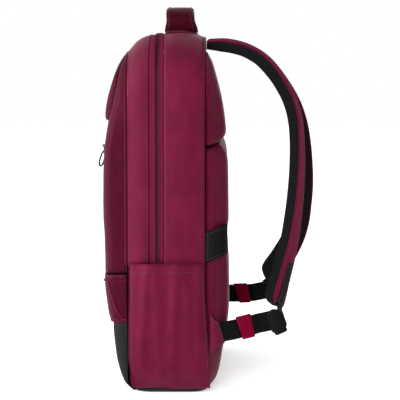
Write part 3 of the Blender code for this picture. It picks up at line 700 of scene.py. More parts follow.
def slider_body(name, place, body, node):
    """A zip slider: two rounded plates, a wedge between them and a bridge for the pull."""
    bm = bmesh.new()
    add_box(bm, (0.0095, 0.0074, 0.0011), place @ Matrix.Translation((0, 0, 0.0014)), 0.0005)
    add_box(bm, (0.0030, 0.0012, 0.0036), place @ Matrix.Translation((0, 0.0026, 0.0033)), 0.0004)
    add_box(bm, (0.0030, 0.0012, 0.0036), place @ Matrix.Translation((0, -0.0026, 0.0033)), 0.0004)
    add_box(bm, (0.0062, 0.0060, 0.0008), place @ Matrix.Translation((0, 0, 0.0004)), 0.0003)
    return hand_in(bm, name, METAL, body, [node], smooth=False)


head = 0.3060
face = -0.0844 - 0.0003 - 0.0018 - 0.0004
front_place = frame_matrix(Vector((FRONT_ZIP_X, face, head)), -Z, X, -Y)
slider_body("front_zip_slider", front_place, "front_slider", "front_slider")
hinge = front_place @ Matrix.Translation((0, 0, 0.0032))
bm = bmesh.new()
add_box(bm, (0.0046, 0.0032, 0.0012), hinge @ Matrix.Translation((0.0015, 0, 0)), 0.0004)
add_box(bm, (0.0024, 0.0048, 0.0012), hinge @ Matrix.Translation((0.0043, 0, 0)), 0.0004)
add_box(bm, (0.0034, 0.0012, 0.0012), hinge @ Matrix.Translation((0.0068, 0.0018, 0)), 0.0004)
add_box(bm, (0.0034, 0.0012, 0.0012), hinge @ Matrix.Translation((0.0068, -0.0018, 0)), 0.0004)
add_box(bm, (0.0018, 0.0048, 0.0012), hinge @ Matrix.Translation((0.0090, 0, 0)), 0.0004)
hand_in(bm, "front_pull_plate", METAL, "front_pull", ["front_pull_tab"], smooth=False)
loop = []
for k in range(40):
    angle = 2 * math.pi * k / 40
    drop = 0.0068 + 0.0098 * (1 - math.cos(angle))
    swell = 0.0022 * math.sin(angle) * (1 + 0.25 * (1 - math.cos(angle)))
    loop.append(hinge @ Vector((drop, 0.0, swell + 0.24 * (drop - 0.0068))))
tube("front_pull_loop", loop, 0.0010, WEB, "front_pull", ["front_pull_cord"], cyclic=True, up=X)

# main slider, parked on the left side
main_place = frame_matrix(Vector((-0.1506, ZIP_LINE, 0.1900)), -Z, -Y, -X)
slider_body("main_zip_slider", main_place, "main_slider", "main_slider")
hinge = main_place @ Matrix.Translation((0, 0, 0.0032))
bm = bmesh.new()
add_box(bm, (0.0050, 0.0032, 0.0013), hinge @ Matrix.Translation((0.0017, 0, 0)), 0.0004)
add_box(bm, (0.0160, 0.0062, 0.0017), hinge @ Matrix.Translation((0.0120, 0, 0)), 0.0007, 3)
hand_in(bm, "main_pull_grip", PLASTIC, "main_pull", ["main_pull"], smooth=False)

# ---------------------------------------------------------------- front below the fold
boot = front_wrap(BOOT_PROFILE, 0.1462, -0.0560, 0.0120, seed=31.0, crumple=0.0007)
boot.panel("front_boot_cloth", 110, 26, RUBBER, "bag", ["front_boot"])
low_face = front_wrap(LOW_POCKET_PROFILE, 0.1464, -0.0560, 0.0110, seed=37.0, crumple=0.0008, low=0.0895)
low_face.panel("lower_pocket_cloth", 110, 20, POCKET_SIDE, "bag", ["lower_front_pocket"])
stitches("lower_pocket_stitching", low_face.level(0.02, 0.98, 0.955, 0.06), "bag")
for name, w in (("fold_piping", 0.86), ("boot_piping", 0.03)):
    tube(name, [low_face.at(i / 120, w, 0.0002) for i in range(121)], 0.0012, PIPING, "bag", up=Z)
for label, side in SIDES:
    curve = []
    for i in range(31):
        share = i / 30
        y = lerp(-0.0800, -0.0566, share)
        z = 0.1415 - 0.0480 * (1 - (1 - share) ** 2.2)
        front, half_z = along(LOW_POCKET_PROFILE, z), half_at(z, 0.1464, FRONT_TOP, FRONT_SHOULDER)
        r = 0.0110
        inset = r - math.sqrt(max(0.0, r * r - max(0.0, front + r - y) ** 2))
        curve.append(Vector((side * (half_z - inset + 0.0002), y, z)))
    tube("lower_pocket_side_piping_" + label, curve, 0.0013, PIPING, "bag", up=Z)

# ---------------------------------------------------------------- base
bm = bmesh.new()
base_place = Matrix.Translation((0, -0.0035, 0.0026))
bmesh.ops.create_cube(bm, size=1.0, matrix=base_place @ Matrix.Diagonal((0.284, 0.097, 0.0050, 1)))
upright = [e for e in bm.edges if abs(e.verts[0].co.z - e.verts[1].co.z) > 0.001]
bmesh.ops.bevel(bm, geom=upright, offset=0.026, affect="EDGES", segments=8, profile=0.5, material=-1)
under = [e for e in bm.edges if max(v.co.z for v in e.verts) < 0.001]
bmesh.ops.bevel(bm, geom=under, offset=0.0022, affect="EDGES", segments=3, profile=0.5, material=-1)
bmesh.ops.translate(bm, verts=bm.verts, vec=(0, 0, -0.0001))
hand_in(bm, "base_cloth", RUBBER, "bag", ["base_panel"], smooth=False)


def base_edge(lift, grow):
    points = []
    for i in range(160):
        angle = 2 * math.pi * i / 160
        c, s = math.cos(angle), math.sin(angle)
        power = 0.32
        x = (0.142 + grow) * math.copysign(abs(c) ** power, c)
        y = ((0.0440 if s > 0 else 0.0520) + grow) * math.copysign(abs(s) ** power, s)
        points.append(Vector((x, y, lift)))
    return points


tube("base_binding", base_edge(0.0036, 0.0020), 0.0026, BINDING, "bag", cyclic=True, up=Z)

# ---------------------------------------------------------------- side pockets
FOLDS = ((-0.036, 0.0060, 0.0030, 0.004), (-0.018, 0.0075, 0.0026, -0.006), (0.002, 0.0065, 0.0034, 0.003),
         (0.019, 0.0080, 0.0024, -0.004), (0.034, 0.0050, 0.0022, 0.002))


def side_pocket(side):
    def place(u, w):
        z = lerp(0.0062, ZIP_END + 0.0020, w)
        front = lerp(-0.0475, -0.0540, ease(z / 0.05)) + 0.0010 * ease((z - 0.05) / 0.1)
        rear = lerp(0.0478, 0.0402, ease(z / 0.16))
        y = lerp(front, rear, u)
        full = ease(w / 0.22) * (0.72 + 0.28 * ease(w))
        swell = 0.0072 * full * (math.sin(math.pi * u) ** 0.55 if 0 < u < 1 else 0.0)
        drape = 0.0
        for middle, wide, deep, lean in FOLDS:
            at = middle + lean * (w - 0.5) * 2 + 0.0030 * ripple((0, middle, z), 0.05, 41.0)
            fall = (0.35 + 0.65 * ease(w / 0.9)) * (1 - 0.25 * w)
            drape += deep * math.exp(-(((y - at) / wide) ** 2)) * fall
        slack = min(1.0, 7 * min(u, 1 - u)) * ease(w / 0.12)
        crumple = 0.0010 * ripple((side, y, z), 0.030, 43.0 + side)
        crumple += 0.0005 * ripple((side, y, z), 0.012, 47.0)
        corner = 0.0022 * math.exp(-(((y + 0.034 - z * 0.8) / 0.010) ** 2)) * (1 - ease(z / 0.05))
        x = half_at(z) + 0.0016 + swell + (drape * 0.85 + crumple + corner * 1.6) * slack
        return Vector((side * x, y, z))

    return Surface(place, 0.095, 0.158, flip=side < 0)


for label, side in SIDES:
    pocket = side_pocket(side)
    pocket.panel("side_pocket_cloth_" + label, 44, 60, CLARET, "bag", ["side_pocket_" + label])
    hem = [pocket.at(i / 60, 0.999, 0.0) for i in range(61)]
    tube("side_pocket_hem_" + label, hem, 0.0010, PIPING, "bag", up=Z)
    seams = pocket.level(0.01, 0.99, 0.935) + pocket.upright(0.02, 0.93, 0.975, 0.025)
    stitches("side_pocket_stitching_" + label, seams, "bag")
    edge = [pocket.at(0.0, i / 40, 0.0) for i in range(41)]
    tube("side_pocket_front_piping_" + label, edge, 0.0009, PIPING, "bag", up=Y)


# ---------------------------------------------------------------- back pads
def pad_mesh(profile, front, inset, crease):
    """A closed cushion drawn to the pad's outline. `crease` is -1 or 1 for the end at the sewn crease."""
    bm = bmesh.new()
    low, high = profile[0][0] + inset, profile[-1][0] - inset
    bmesh.ops.create_cube(bm, size=1.0)
    bmesh.ops.subdivide_edges(bm, edges=bm.edges, cuts=15, use_grid_fill=True)
    for vert in bm.verts:
        a, b, c = (p + 0.5 for p in vert.co)
        z = lerp(low, high, c)
        back = along(profile, z) - inset
        half = half_at(z, HALF_WIDTH, TOP - 0.004, SHOULDER) - inset
        x, y = lerp(-half, half, a), lerp(front + inset * 0.5, back, b)
        radius = min(0.022, (back - front) * 0.85)
        if b > 0.5:
            over = max(0.0, abs(x) - (half - radius))
            y = min(y, back - radius + math.sqrt(max(0.0, radius * radius - over * over)))
        near = c if crease > 0 else 1 - c
        slope = -0.0100 * (1 - (y - front) / 0.030) + 0.0022 * crease
        vert.co = Vector((x, y, z + slope * ease((near - 0.6) / 0.4)))
    return bm


def settle(piece, cap, pressure=4.0, voxel=0.006):
    """Blows a cushion up as stuffed cloth and keeps every point within `cap` of where it was."""
    remesh = piece.modifiers.new("Even", "REMESH")
    remesh.mode, remesh.voxel_size = "VOXEL", voxel
    bake_modifiers(piece)
    rest = np.empty(len(piece.data.vertices) * 3)
    piece.data.vertices.foreach_get("co", rest)
    cloth = piece.modifiers.new("Cloth", "CLOTH")
    cloth.settings.use_pressure = True
    cloth.settings.uniform_pressure_force = pressure
    cloth.settings.effector_weights.gravity = 0
    cloth.settings.quality = 5
    cloth.settings.tension_stiffness = 20
    cloth.settings.compression_stiffness = 20
    cloth.settings.bending_stiffness = 1.5
    for step in range(1, 21):
        bpy.context.scene.frame_set(step)
    bake_modifiers(piece)
    bpy.context.scene.frame_set(1)
    now = np.empty(len(rest))
    piece.data.vertices.foreach_get("co", now)
    move = (now - rest).reshape(-1, 3)
    far = np.linalg.norm(move, axis=1, keepdims=True)
    move *= np.minimum(1.0, cap / np.maximum(far, 1e-9))
    piece.data.vertices.foreach_set("co", (rest.reshape(-1, 3) + move).ravel())


def bake_modifiers(piece):
    """Turns what the modifiers make into the piece's own mesh."""
    shown = piece.evaluated_get(bpy.context.evaluated_depsgraph_get())
    mesh = bpy.data.meshes.new_from_object(shown)
    piece.modifiers.clear()
    piece.data = mesh


def channel(piece, grooves, front, depth):
    """Sews channels into a pad's back: points near a line (a -> b) are drawn in."""
    for vert in piece.data.vertices:
        co = vert.co
        if co.y < front + 0.010:
            continue
        pull = 0.0
        for a, b, wide in grooves:
            line = Vector((b[0] - a[0], b[1] - a[1]))
            at = Vector((co.x - a[0], co.z - a[1]))
            share = clamp(at.dot(line) / line.length_squared)
            away = (at - line * share).length
            pull = max(pull, math.exp(-((away / wide) ** 2)))
        co.y -= depth * pull * ease((co.y - front - 0.010) / 0.010)


def back_pad(name, profile, grooves, node, crease):
    front = BACK_WALL + 0.0008
    bm = pad_mesh(profile, front, 0.0016, crease)
    pad = hand_in(bm, name, CLARET_PAD, None, [node], outward=True)
    settle(pad, 0.0014)
    for vert in pad.data.vertices:
        vert.co.y = max(front, vert.co.y)
        pressed = ease((vert.co.z - BAND_LOW - 0.003) / 0.008)
        pressed *= 1 - ease((vert.co.z - BAND_HIGH - 0.003) / 0.008)
        vert.co.y = min(vert.co.y, lerp(0.0800, 0.0676, pressed) if pressed else 1.0)
    channel(pad, grooves, front, 0.0060)
    for face in pad.data.polygons:
        face.use_smooth = True
    soft = pad.modifiers.new("Soften", "SUBSURF")
    soft.levels = soft.render_levels = 1
    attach(pad, "bag")
    return pad


back_pad("lower_back_cushion", LOW_PAD_PROFILE, [((0.0, 0.030), (0.0, 0.300), 0.005)], "lower_back_pad", 1)
back_pad("upper_back_cushion", HIGH_PAD_PROFILE, [((0.0, 0.325), (0.0, 0.405), 0.005)], "upper_back_pad", -1)

# ---------------------------------------------------------------- luggage band
def band_place(u, w):
    """The band lies flat on the pads' backs, turns a corner at each side and ends at the gusset."""
    half, back, r = HALF_WIDTH - 0.0002, 0.0693, 0.0215
    flat, corner, side = half - r, r * math.pi / 2, 0.0100
    distance = abs(u - 0.5) * 2 * (flat + corner + side)
    z = lerp(BAND_LOW, BAND_HIGH, w)
    if distance < flat:
        x, y = distance, back
    elif distance < flat + corner:
        angle = (distance - flat) / r
        x, y = flat + r * math.sin(angle), back - r + r * math.cos(angle)
    else:
        x, y = half, back - r - (distance - flat - corner)
    z += 0.0095 * clamp((y - 0.0400) / 0.026)
    return Vector((math.copysign(x, 0.5 - u), y, z))


band = Surface(band_place, 0.35, 0.038)
band.panel("luggage_band_webbing", 90, 8, BAND, "bag", ["luggage_band"], wall=0.0012)
stitches("luggage_band_stitching", band.level(0.02, 0.98, 0.08, 0.92) + band.upright(0.08, 0.92, 0.02, 0.98),
         "bag", BLACK_THREAD)

# ---------------------------------------------------------------- grab handle
HANDLE_Y = 0.0095


def handle_line():
    """The handle's arch from its right foot to its left one."""
    shape = [(0.0675, 0.4520), (0.0695, 0.4580), (0.0698, 0.4655), (0.0668, 0.4728), (0.0590, 0.4778),
             (0.0460, 0.4798), (0.0240, 0.4806), (0.0, 0.4808)]
    full = [Vector((x, 0, z)) for x, z in shape + [(-x, z) for x, z in reversed(shape[:-1])]]
    return [through(full, i / 6) for i in range(6 * (len(full) - 1) + 1)]


def pad_section(angle, half_wide, half_thick, power=0.55):
    """A flattened oval with soft corners."""
    c, s = math.cos(angle), math.sin(angle)
    return (half_wide * math.copysign(abs(c) ** power, c), half_thick * math.copysign(abs(s) ** power, s))


def swept_pad(name, frames, look, body, stands_for=(), sides=24, power=0.55):
    """A padded strip. frames are (centre, across, normal, half width, half thickness)."""
    rows = len(frames) - 1
    lengths = [0.0]
    for a, b in zip(frames, frames[1:]):
        lengths.append(lengths[-1] + (b[0] - a[0]).length)
    girths = [4.4 * frame[3] for frame in frames]
    bm = cloth_grid(sides, rows, lambda u, w: (u * girths[round(w * rows)], lengths[round(w * rows)]))
    for vert in bm.verts:
        centre, across, normal, wide, thick = frames[round((vert.co.y + 0.5) * rows)]
        a, b = pad_section((vert.co.x + 0.5) * 2 * math.pi, wide, thick, power)
        vert.co = centre + across * a + normal * b
    close_ends(bm, 0.00002, sides)
    return hand_in(bm, name, look, body, stands_for)


line = handle_line()
frames = []
for i, at in enumerate(line):
    way = (line[min(i + 1, len(line) - 1)] - line[max(i - 1, 0)]).normalized()
    spread = 1 - ease((at.z - 0.4530) / 0.016)
    wide = lerp(0.0172, 0.0205, spread)
    lean = -0.0016 * ease((at.z - 0.4560) / 0.02)
    thick = lerp(0.0034, 0.0022, spread)
    frames.append((Vector((at.x, HANDLE_Y + lean, at.z)), Y, way.cross(Y) * -1, wide, thick))
handle = swept_pad("grab_handle_grip", frames, HANDLE_CLOTH, None, ["grab_handle"])


def handle_face(u, w):
    i = clamp(w) * (len(frames) - 1)
    low = min(int(i), len(frames) - 2)
    t = i - low
    a, b = frames[low], frames[low + 1]
    centre, normal = a[0].lerp(b[0], t), a[2].lerp(b[2], t).normalized()
    return centre + Y * lerp(-a[3], a[3], u) * 0.99 + normal * (lerp(a[4], b[4], t) * 0.97 + 0.0002)


grip_face = Surface(handle_face, 0.035, 0.2)
grip_thread = stitches("grab_handle_stitching", grip_face.upright(0.03, 0.97, 0.10, 0.90), None, lift=0.0003)
for piece in (handle, grip_thread):
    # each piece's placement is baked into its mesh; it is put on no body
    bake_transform(piece)

for label, side in SIDES:
    def foot_place(u, w, side=side):
        x = lerp(0.0470, 0.0900, w)
        y = HANDLE_Y + lerp(-0.0195, 0.0205, u)
        top = along(TOP_PROFILE, y) + CROWN * clamp(1 - (x / 0.120) ** 2)
        swell = 0.0030 * math.sin(math.pi * u) ** 0.75 if 0 < u < 1 else 0
        lump = 0.0022 * math.exp(-(((x - 0.0680) / 0.006) ** 2))
        return Vector((side * x, y, top + 0.0016 + swell * 0.8 + lump))

    patch = Surface(foot_place, 0.043, 0.043, flip=side > 0)
    patch.panel("handle_foot_patch_" + label, 16, 16, HANDLE_CLOTH, "bag", ["handle_foot_" + label])
    corners = [(0.06, 0.06), (0.94, 0.06), (0.94, 0.94), (0.06, 0.94), (0.06, 0.06)]
    stitches("handle_foot_stitching_" + label, [(patch, corners)], "bag", pitch=0.0036)

# ---------------------------------------------------------------- shoulder straps
def strap_line(label, side, count=90):
    """(centre, across, normal, half width, share) down a strap that twists outwards at its foot."""
    control = []
    for i, (y, z) in enumerate(STRAP_LINE):
        share = i / (len(STRAP_LINE) - 1)
        bow = math.sin(math.pi * share**1.9) ** 2 + 0.22 * math.exp(-(((share - 0.83) / 0.08) ** 2))
        bow *= STRAP_SPLAY[label]
        control.append(Vector((side * lerp(*STRAP_X, share**1.5), y + bow, z)))
    centres = [through(control, i / count * (len(control) - 1)) for i in range(count + 1)]
    made = []
    for i, at in enumerate(centres):
        share = i / count
        way = (centres[min(i + 1, count)] - centres[max(i - 1, 0)]).normalized()
        across = (X - way * way.dot(X)).normalized()
        normal = across.cross(way)
        twist = side * (STRAP_TWIST * share**2 + math.radians(2.5) * (1 - share))
        turn = Matrix.Rotation(twist, 3, way)
        made.append((at, turn @ across, turn @ normal, lerp(*STRAP_WIDTH, share) / 2, share))
    return made


def plumpness(share):
    """The padding's thickness down the strap: thin at the yoke, fullest over the shoulder."""
    return min(1.0, 0.68 + 4.0 * share) * (1 + 0.10 * math.exp(-(((share - 0.28) / 0.14) ** 2)))


def foot_taper(share):
    """The strap's width as a share of its full width: it rounds in towards the tab at its foot."""
    return lerp(0.48, 1.0, math.sqrt(1 - (1 - clamp((1 - share) / 0.085)) ** 2))


def strap_face(stations, lift):
    def place(u, w):
        at = clamp(w) * (len(stations) - 1)
        k = min(int(at), len(stations) - 2)
        t = at - k
        a, b = stations[k], stations[k + 1]
        centre, across, normal = a[0].lerp(b[0], t), a[1].lerp(b[1], t), a[2].lerp(b[2], t)
        wide, share = lerp(a[3], b[3], t), lerp(a[4], b[4], t)
        plump = plumpness(share)
        offset = lerp(-1, 1, u)
        crown = (1 - abs(offset) ** 3.2) ** 0.5
        point = centre + across * offset * wide * 0.985
        wave = 0.0004 * ripple(point, 0.03, 61.0)
        return point + normal * ((0.0054 + 0.0020 * crown) * plump + lift + wave)

    return Surface(place, 0.054, 0.42)


for label, side in SIDES:
    body = "strap_" + label
    stations = strap_line(label, side)
    narrowed = [(c, a, n, w * foot_taper(s), s) for c, a, n, w, s in stations]
    pad_frames = []
    for centre, across, normal, wide, share in narrowed:
        thick = 0.0073 * plumpness(share) * lerp(0.6, 1.0, clamp((1 - share) / 0.035))
        pad_frames.append((centre - normal * 0.0007, across, normal, wide, thick))
    pad = swept_pad("strap_padding_" + label, pad_frames, MESH, body,
                    ["strap_foam_" + label, "strap_mesh_" + label], sides=32, power=0.34)
    face_up = strap_face(narrowed, 0.0006)
    face_up.flip = face_up.normal(0.5, 0.5).dot(stations[45][2]) < 0
    face_up.panel("strap_outside_" + label, 14, 90, STRAP_CLOTH, body, ["strap_shell_" + label], wall=0.0012)
    stitches("strap_stitching_" + label, face_up.upright(0.01, 0.985, 0.08, 0.92), body)
    for edge, u in (("inner", 0.0), ("outer", 1.0)):
        cord = [face_up.at(u, i / 90, -0.0003) for i in range(91)]
        tube("strap_binding_%s_%s" % (edge, label), cord, 0.0013, PIPING, body)

# ---------------------------------------------------------------- lower webbing, locks, keepers and wings
def web_x(angle):
    return lerp(0.1518, 0.1190, min(1.0, (angle - WEB_START) / (WEB_STRAIGHT - WEB_START)))


def web_point(angle, radius, out, side):
    turn = math.radians(angle)
    y, z = STRAP_AXIS.y + radius * math.sin(turn), STRAP_AXIS.z - radius * math.cos(turn)
    return Vector((side * (web_x(angle) + out), y, z))


def web_surface(side, start, end, low, high, out):
    def place(u, w):
        angle = lerp(start, end, u)
        sag = 0.0006 * math.sin(math.pi * u) + 0.0003 * ripple((angle, w, 0), 2.0, 71.0)
        return web_point(angle, lerp(high, low, w), out + sag, side)

    return Surface(place, 0.065, 0.025, flip=side < 0)


def edges_along_x(bm):
    return [e for e in bm.edges if abs(e.verts[0].co.x - e.verts[1].co.x) > 0.5]


LOCK_LEAN = math.radians(24)
for label, side in SIDES:
    body = "strap_" + label
    stations = strap_line(label, side)
    web = web_surface(side, WEB_START, WEB_END, WEB_INNER, WEB_OUTER, 0.0008)
    strip = web.panel("lower_webbing_band_" + label, 40, 6, WEB, None, ["lower_webbing_" + label],
                      wall=0.0016)
    bake_modifiers(strip)
    # points at 9.8 and 13.4 degrees, between the keeper and the lock, are worked out and not used
    web_point(9.8, WEB_INNER, 0, side)
    web_point(13.4, WEB_INNER, 0, side)
    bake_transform(strip)

    # keeper: a flat loop of cloth round the webbing
    bm = bmesh.new()
    bmesh.ops.create_cube(bm, size=1.0)
    bmesh.ops.delete(bm, geom=[f for f in bm.faces if abs(f.normal.x) > 0.9], context="FACES")
    bmesh.ops.bevel(bm, geom=edges_along_x(bm), offset=0.02, affect="EDGES", segments=3, profile=0.5,
                    material=-1)
    bmesh.ops.subdivide_edges(bm, edges=edges_along_x(bm), cuts=8)
    for vert in bm.verts:
        rise = vert.co.z + 0.5
        angle = lerp(lerp(7.3, 6.4, rise), lerp(9.7, 9.5, rise), vert.co.x + 0.5)
        radius = lerp(WEB_OUTER + 0.0013, WEB_INNER - 0.0013, rise)
        vert.co = web_point(angle, radius, 0.0004 + vert.co.y * 0.0064, side)
    bmesh.ops.recalc_face_normals(bm, faces=bm.faces)
    hand_in(bm, "keeper_loop_" + label, KEEPER_CLOTH, "keeper_" + label, ["keeper_" + label], wall=0.0009)

    # wing: doubled cloth triangle from the seam to the webbing
    def wing_place(u, w, side=side):
        top_a, top_b = Vector((0.1526, 0.0478, 0.1010)), web_point(2.7, WEB_INNER - 0.001, 0.0030, 1)
        low_a, low_b = Vector((0.1526, 0.0478, 0.0500)), web_point(3.8, WEB_OUTER + 0.001, 0.0036, 1)
        bow = 0.0016 * math.sin(math.pi * u)
        top, low = top_a.lerp(top_b, u) - Z * bow, low_a.lerp(low_b, u) + Z * bow
        point = low.lerp(top, w)
        point.x += 0.0012 * math.sin(math.pi * u) + 0.0005 * ripple(point, 0.012, 81.0)
        return Vector((side * point.x, point.y, point.z))

    wing = Surface(wing_place, 0.022, 0.045, flip=side < 0)
    wing.panel("wing_cloth_" + label, 12, 16, CLARET, "bag", ["wing_" + label], wall=0.0014)
    seams = [(wing, [(0.1, 0.94), (0.95, 0.92)]), (wing, [(0.1, 0.06), (0.95, 0.08)])]
    stitches("wing_stitching_" + label, seams + wing.upright(0.08, 0.92, 0.92), "bag", pitch=0.0034)

    # ladder lock
    lock = Vector((side * 0.1220, 0.1322, 0.0860))
    down = Vector((0, -math.cos(LOCK_LEAN), -math.sin(LOCK_LEAN)))
    over = Vector((0, math.sin(LOCK_LEAN), -math.cos(LOCK_LEAN)))
    bm = bmesh.new()
    turned = frame_matrix(lock, over, down, over.cross(down))
    for shift, wide in ((-0.0092, 0.0032), (0.0, 0.0030), (0.0092, 0.0032)):
        add_box(bm, (0.0300, wide, 0.0030), turned @ Matrix.Translation((0, shift, 0)), 0.0010, 3)
    for end in (-0.0142, 0.0142):
        add_box(bm, (0.0030, 0.0215, 0.0036), turned @ Matrix.Translation((end, 0, 0)), 0.0011, 3)
    for k in range(5):
        rib = turned @ Matrix.Translation(((k - 2) * 0.005, 0.0092, 0))
        add_box(bm, (0.0016, 0.0026, 0.0006), Matrix.Translation(X * side * 0.0016) @ rib, 0.0002, 1)
    for vert in bm.verts:
        end, slide = (vert.co - lock).dot(over), (vert.co - lock).dot(down)
        vert.co -= down * slide * (1 - math.sqrt(1 - 0.8 * clamp((abs(end) - 0.0075) / 0.009) ** 2))
    hand_in(bm, "ladder_lock_frame_" + label, PLASTIC, body, ["ladder_lock_" + label], smooth=False)

    # tab from the strap's foot to the lock, and the webbing's free end rolled over it
    foot, across, normal = stations[-1][:3]
    rear_bar = lock + X * side * 0.0026 - down * 0.0092 - over * 0.004
    rises = ((-16, 0.0090), (-8, 0.0092), (-1, 0.0086))
    knots = [stations[k][0] + stations[k][2] * rise for k, rise in rises]
    knots += [foot.lerp(rear_bar, 0.5) + normal * 0.0042, rear_bar, rear_bar + down * 0.0060]
    broad = [across.lerp(-over, share).normalized() for share in (0.0, 0.0, 0.0, 0.3, 0.5, 0.6)]

    def tab_place(u, w, knots=knots, broad=broad):
        at = clamp(w) * (len(knots) - 1)
        k = min(int(at), len(knots) - 2)
        half = broad[k].lerp(broad[k + 1], at - k) * lerp(-0.0100, 0.0100, u)
        return through(knots, at) + half

    tab = Surface(tab_place, 0.020, 0.075)
    tab.flip = tab.normal(0.5, 0.1).dot(stations[-16][2]) < 0
    tab.panel("strap_tab_webbing_" + label, 6, 40, WEB, body, ["strap_tab_" + label], wall=0.0014)
    box = [(0.15, 0.04), (0.85, 0.04), (0.85, 0.36), (0.15, 0.36), (0.15, 0.04), (0.85, 0.36)]
    stitches("strap_tab_stitching_" + label, [(tab, box)], body, BLACK_THREAD, pitch=0.0030, long=0.0020)

    def tail_place(u, w, lock=lock, down=down, over=over, side=side):
        angle = math.pi * (2.1 * w - 0.95)
        roll = 0.0046 * (1 - 0.18 * w)
        centre = lock + down * 0.0004 + X * side * 0.0042
        spin = X * side * math.cos(angle) * roll * 0.9 + down * math.sin(angle) * roll * 2.3
        return centre + spin + over * lerp(-0.0176, 0.0138, u) * math.sqrt(1 - 0.80 * math.sin(angle) ** 2)

    tail = Surface(tail_place, 0.0236, 0.05)
    tail.panel("webbing_tail_roll_" + label, 8, 44, WEB, body, ["webbing_tail_" + label], wall=0.0013)

# ---------------------------------------------------------------- inside
for node in ("frame_sheet", "base_board"):
    shown = frame["nodes"][node]
    shown.data.materials.clear()
    shown.data.materials.append(BOARD)


def liner(node, name, body, look, wall, seed, up=60, across=60, channels=0, drop=0.0006):
    """A sewn panel that fills a flat soft wall's own space, loose between its seams."""
    low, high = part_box(node)
    spare = (high.y - low.y) - wall

    def place(u, w):
        z = lerp(low.z + drop, high.z - drop, w)
        half = high.x - drop
        if high.x > 0.14:
            half = min(half, half_at(z, high.x, max(high.z, 0.36), SHOULDER))
        inner = min(1.0, 9 * min(u, 1 - u)) * min(1.0, 9 * min(w, 1 - w))
        quilt = 0.5 + 0.5 * ripple((u, 0, w), 0.22, seed)
        if channels:
            quilt = abs(math.sin(math.pi * channels * w)) ** 0.5
        return Vector((lerp(-half, half, u), low.y + spare * (1 - clamp(quilt) * inner), z))

    surface = Surface(place, high.x * 2, high.z - low.z)
    return surface, surface.panel(name, across, up, look, body, [node], wall=wall)


liner("back_wall", "back_lining", "bag", LINING, 0.0011, 91.0)
liner("front_wall", "front_lining", "front", LINING, 0.0011, 93.0)
liner("lower_front_wall", "lower_front_lining", "bag", LINING, 0.0011, 95.0, up=24)
organiser = liner("organiser_panel", "organiser_pocket", "front", GREY_LINING, 0.0009, 97.0, up=40)[0]
divider, padded_divider = liner("laptop_divider", "laptop_divider_pad", "bag", GREY_LINING, 0.0042, 99.0,
                                up=96, channels=7)
strap_over = liner("laptop_strap", "laptop_strap_webbing", "bag", WEB, 0.0013, 101.0, up=30, across=8)[0]
for surface, name, body, radius in ((divider, "laptop_divider_binding", "bag", 0.0021),
                                    (organiser, "organiser_binding", "front", 0.0010)):
    edge = [surface.at(0.0, i / 40) for i in range(41)] + [surface.at(i / 40, 1.0) for i in range(1, 41)]
    edge += [surface.at(1.0, 1 - i / 40) for i in range(1, 41)]
    tube(name, [point + Y * radius * 0.9 for point in edge], radius, BINDING, body, up=Y)
quilting = divider.level(0.03, 0.97, *[k / 7 for k in range(1, 7)])
stitches("laptop_divider_quilting", quilting, "bag", BLACK_THREAD, pitch=0.006)
stitches("organiser_stitching", organiser.upright(0.02, 0.97, 1 / 3, 2 / 3), "front", BLACK_THREAD)
box = [(0.15, 0.04), (0.85, 0.04), (0.85, 0.16), (0.15, 0.16), (0.15, 0.04)]
stitches("laptop_strap_stitching", [(strap_over, box)], "bag", BLACK_THREAD, pitch=0.0030, long=0.0020)

for label, side in SIDES:
    low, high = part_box("lower_side_panel_" + label)

    def side_place(u, w, side=side, low=low, high=high):
        y, z = lerp(low.y + 0.0004, high.y - 0.0004, u), lerp(low.z, high.z, w)
        x = half_at(z) - 0.0004 - 0.0066 * ease((-0.0400 - y) / 0.014)
        x += 0.0004 * ripple((y, side, z), 0.03, 103.0)
        return Vector((side * x, y, z))

    cheek = Surface(side_place, high.y - low.y, high.z - low.z, flip=side < 0)
    cheek.panel("lower_side_cloth_" + label, 24, 40, CLARET, "bag", ["lower_side_panel_" + label],
                wall=0.0011)

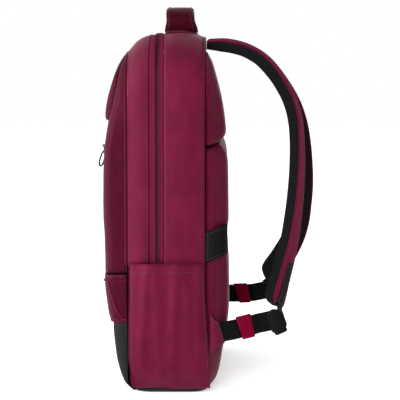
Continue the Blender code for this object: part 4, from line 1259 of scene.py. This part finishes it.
# ---------------------------------------------------------------- floor, light and camera
bm = bmesh.new()
bmesh.ops.create_grid(bm, x_segments=1, y_segments=1, size=6.0, matrix=Matrix.Translation((0, 0, -0.0004)))
white = Finish("pale floor", Roughness=0.9, Specular_IOR_Level=0.0, Emission_Strength=0.32)
white.shader.inputs["Emission Color"].default_value = (1, 1, 1, 1)
white.shader.inputs["Base Color"].default_value = (0.93, 0.93, 0.93, 1)
floor = hand_in(bm, "floor", white.material, None, smooth=False)

world = bpy.context.scene.world or bpy.data.worlds.new("studio")
bpy.context.scene.world = world
world.use_nodes = True
white_sky = world.node_tree.nodes["Background"].inputs
white_sky["Color"].default_value = (1, 1, 1, 1)
white_sky["Strength"].default_value = 1.0


def soft_box(name, at, toward, size, power):
    lamp = bpy.data.lights.new(name, "AREA")
    lamp.shape, lamp.size, lamp.size_y, lamp.energy = "RECTANGLE", size[0], size[1], power
    holder = bpy.data.objects.new(name, lamp)
    bpy.context.scene.collection.objects.link(holder)
    holder.location = at
    holder.rotation_euler = (Vector(toward) - Vector(at)).to_track_quat("-Z", "Y").to_euler()


soft_box("front_box", (0.9, -1.7, 0.8), (0, -0.05, 0.25), (0.4, 1.6), 85)
soft_box("side_box", (2.3, -0.2, 0.9), (0.1, 0, 0.22), (1.0, 1.0), 37)

AZIMUTH, PITCH, DISTANCE = math.radians(90.6), math.radians(6.0), 1.9
VIEW_WIDTH = 0.4960  # metres across the view at the bag
aim = Vector((0.15, 0.0349, 0.2445))
away = Vector((math.sin(AZIMUTH), -math.cos(AZIMUTH), math.tan(PITCH)))
camera = bpy.data.objects.new("camera", bpy.data.cameras.new("camera"))
bpy.context.scene.collection.objects.link(camera)
camera.location = aim + away * DISTANCE
camera.rotation_euler = (-away).to_track_quat("-Z", "Y").to_euler()
camera.data.sensor_width = 36
camera.data.lens = 36 * DISTANCE * math.sqrt(1 + math.tan(PITCH) ** 2) / VIEW_WIDTH
camera.data.clip_start = 0.05
bpy.context.scene.camera = camera
bpy.context.scene.view_settings.view_transform = "Standard"
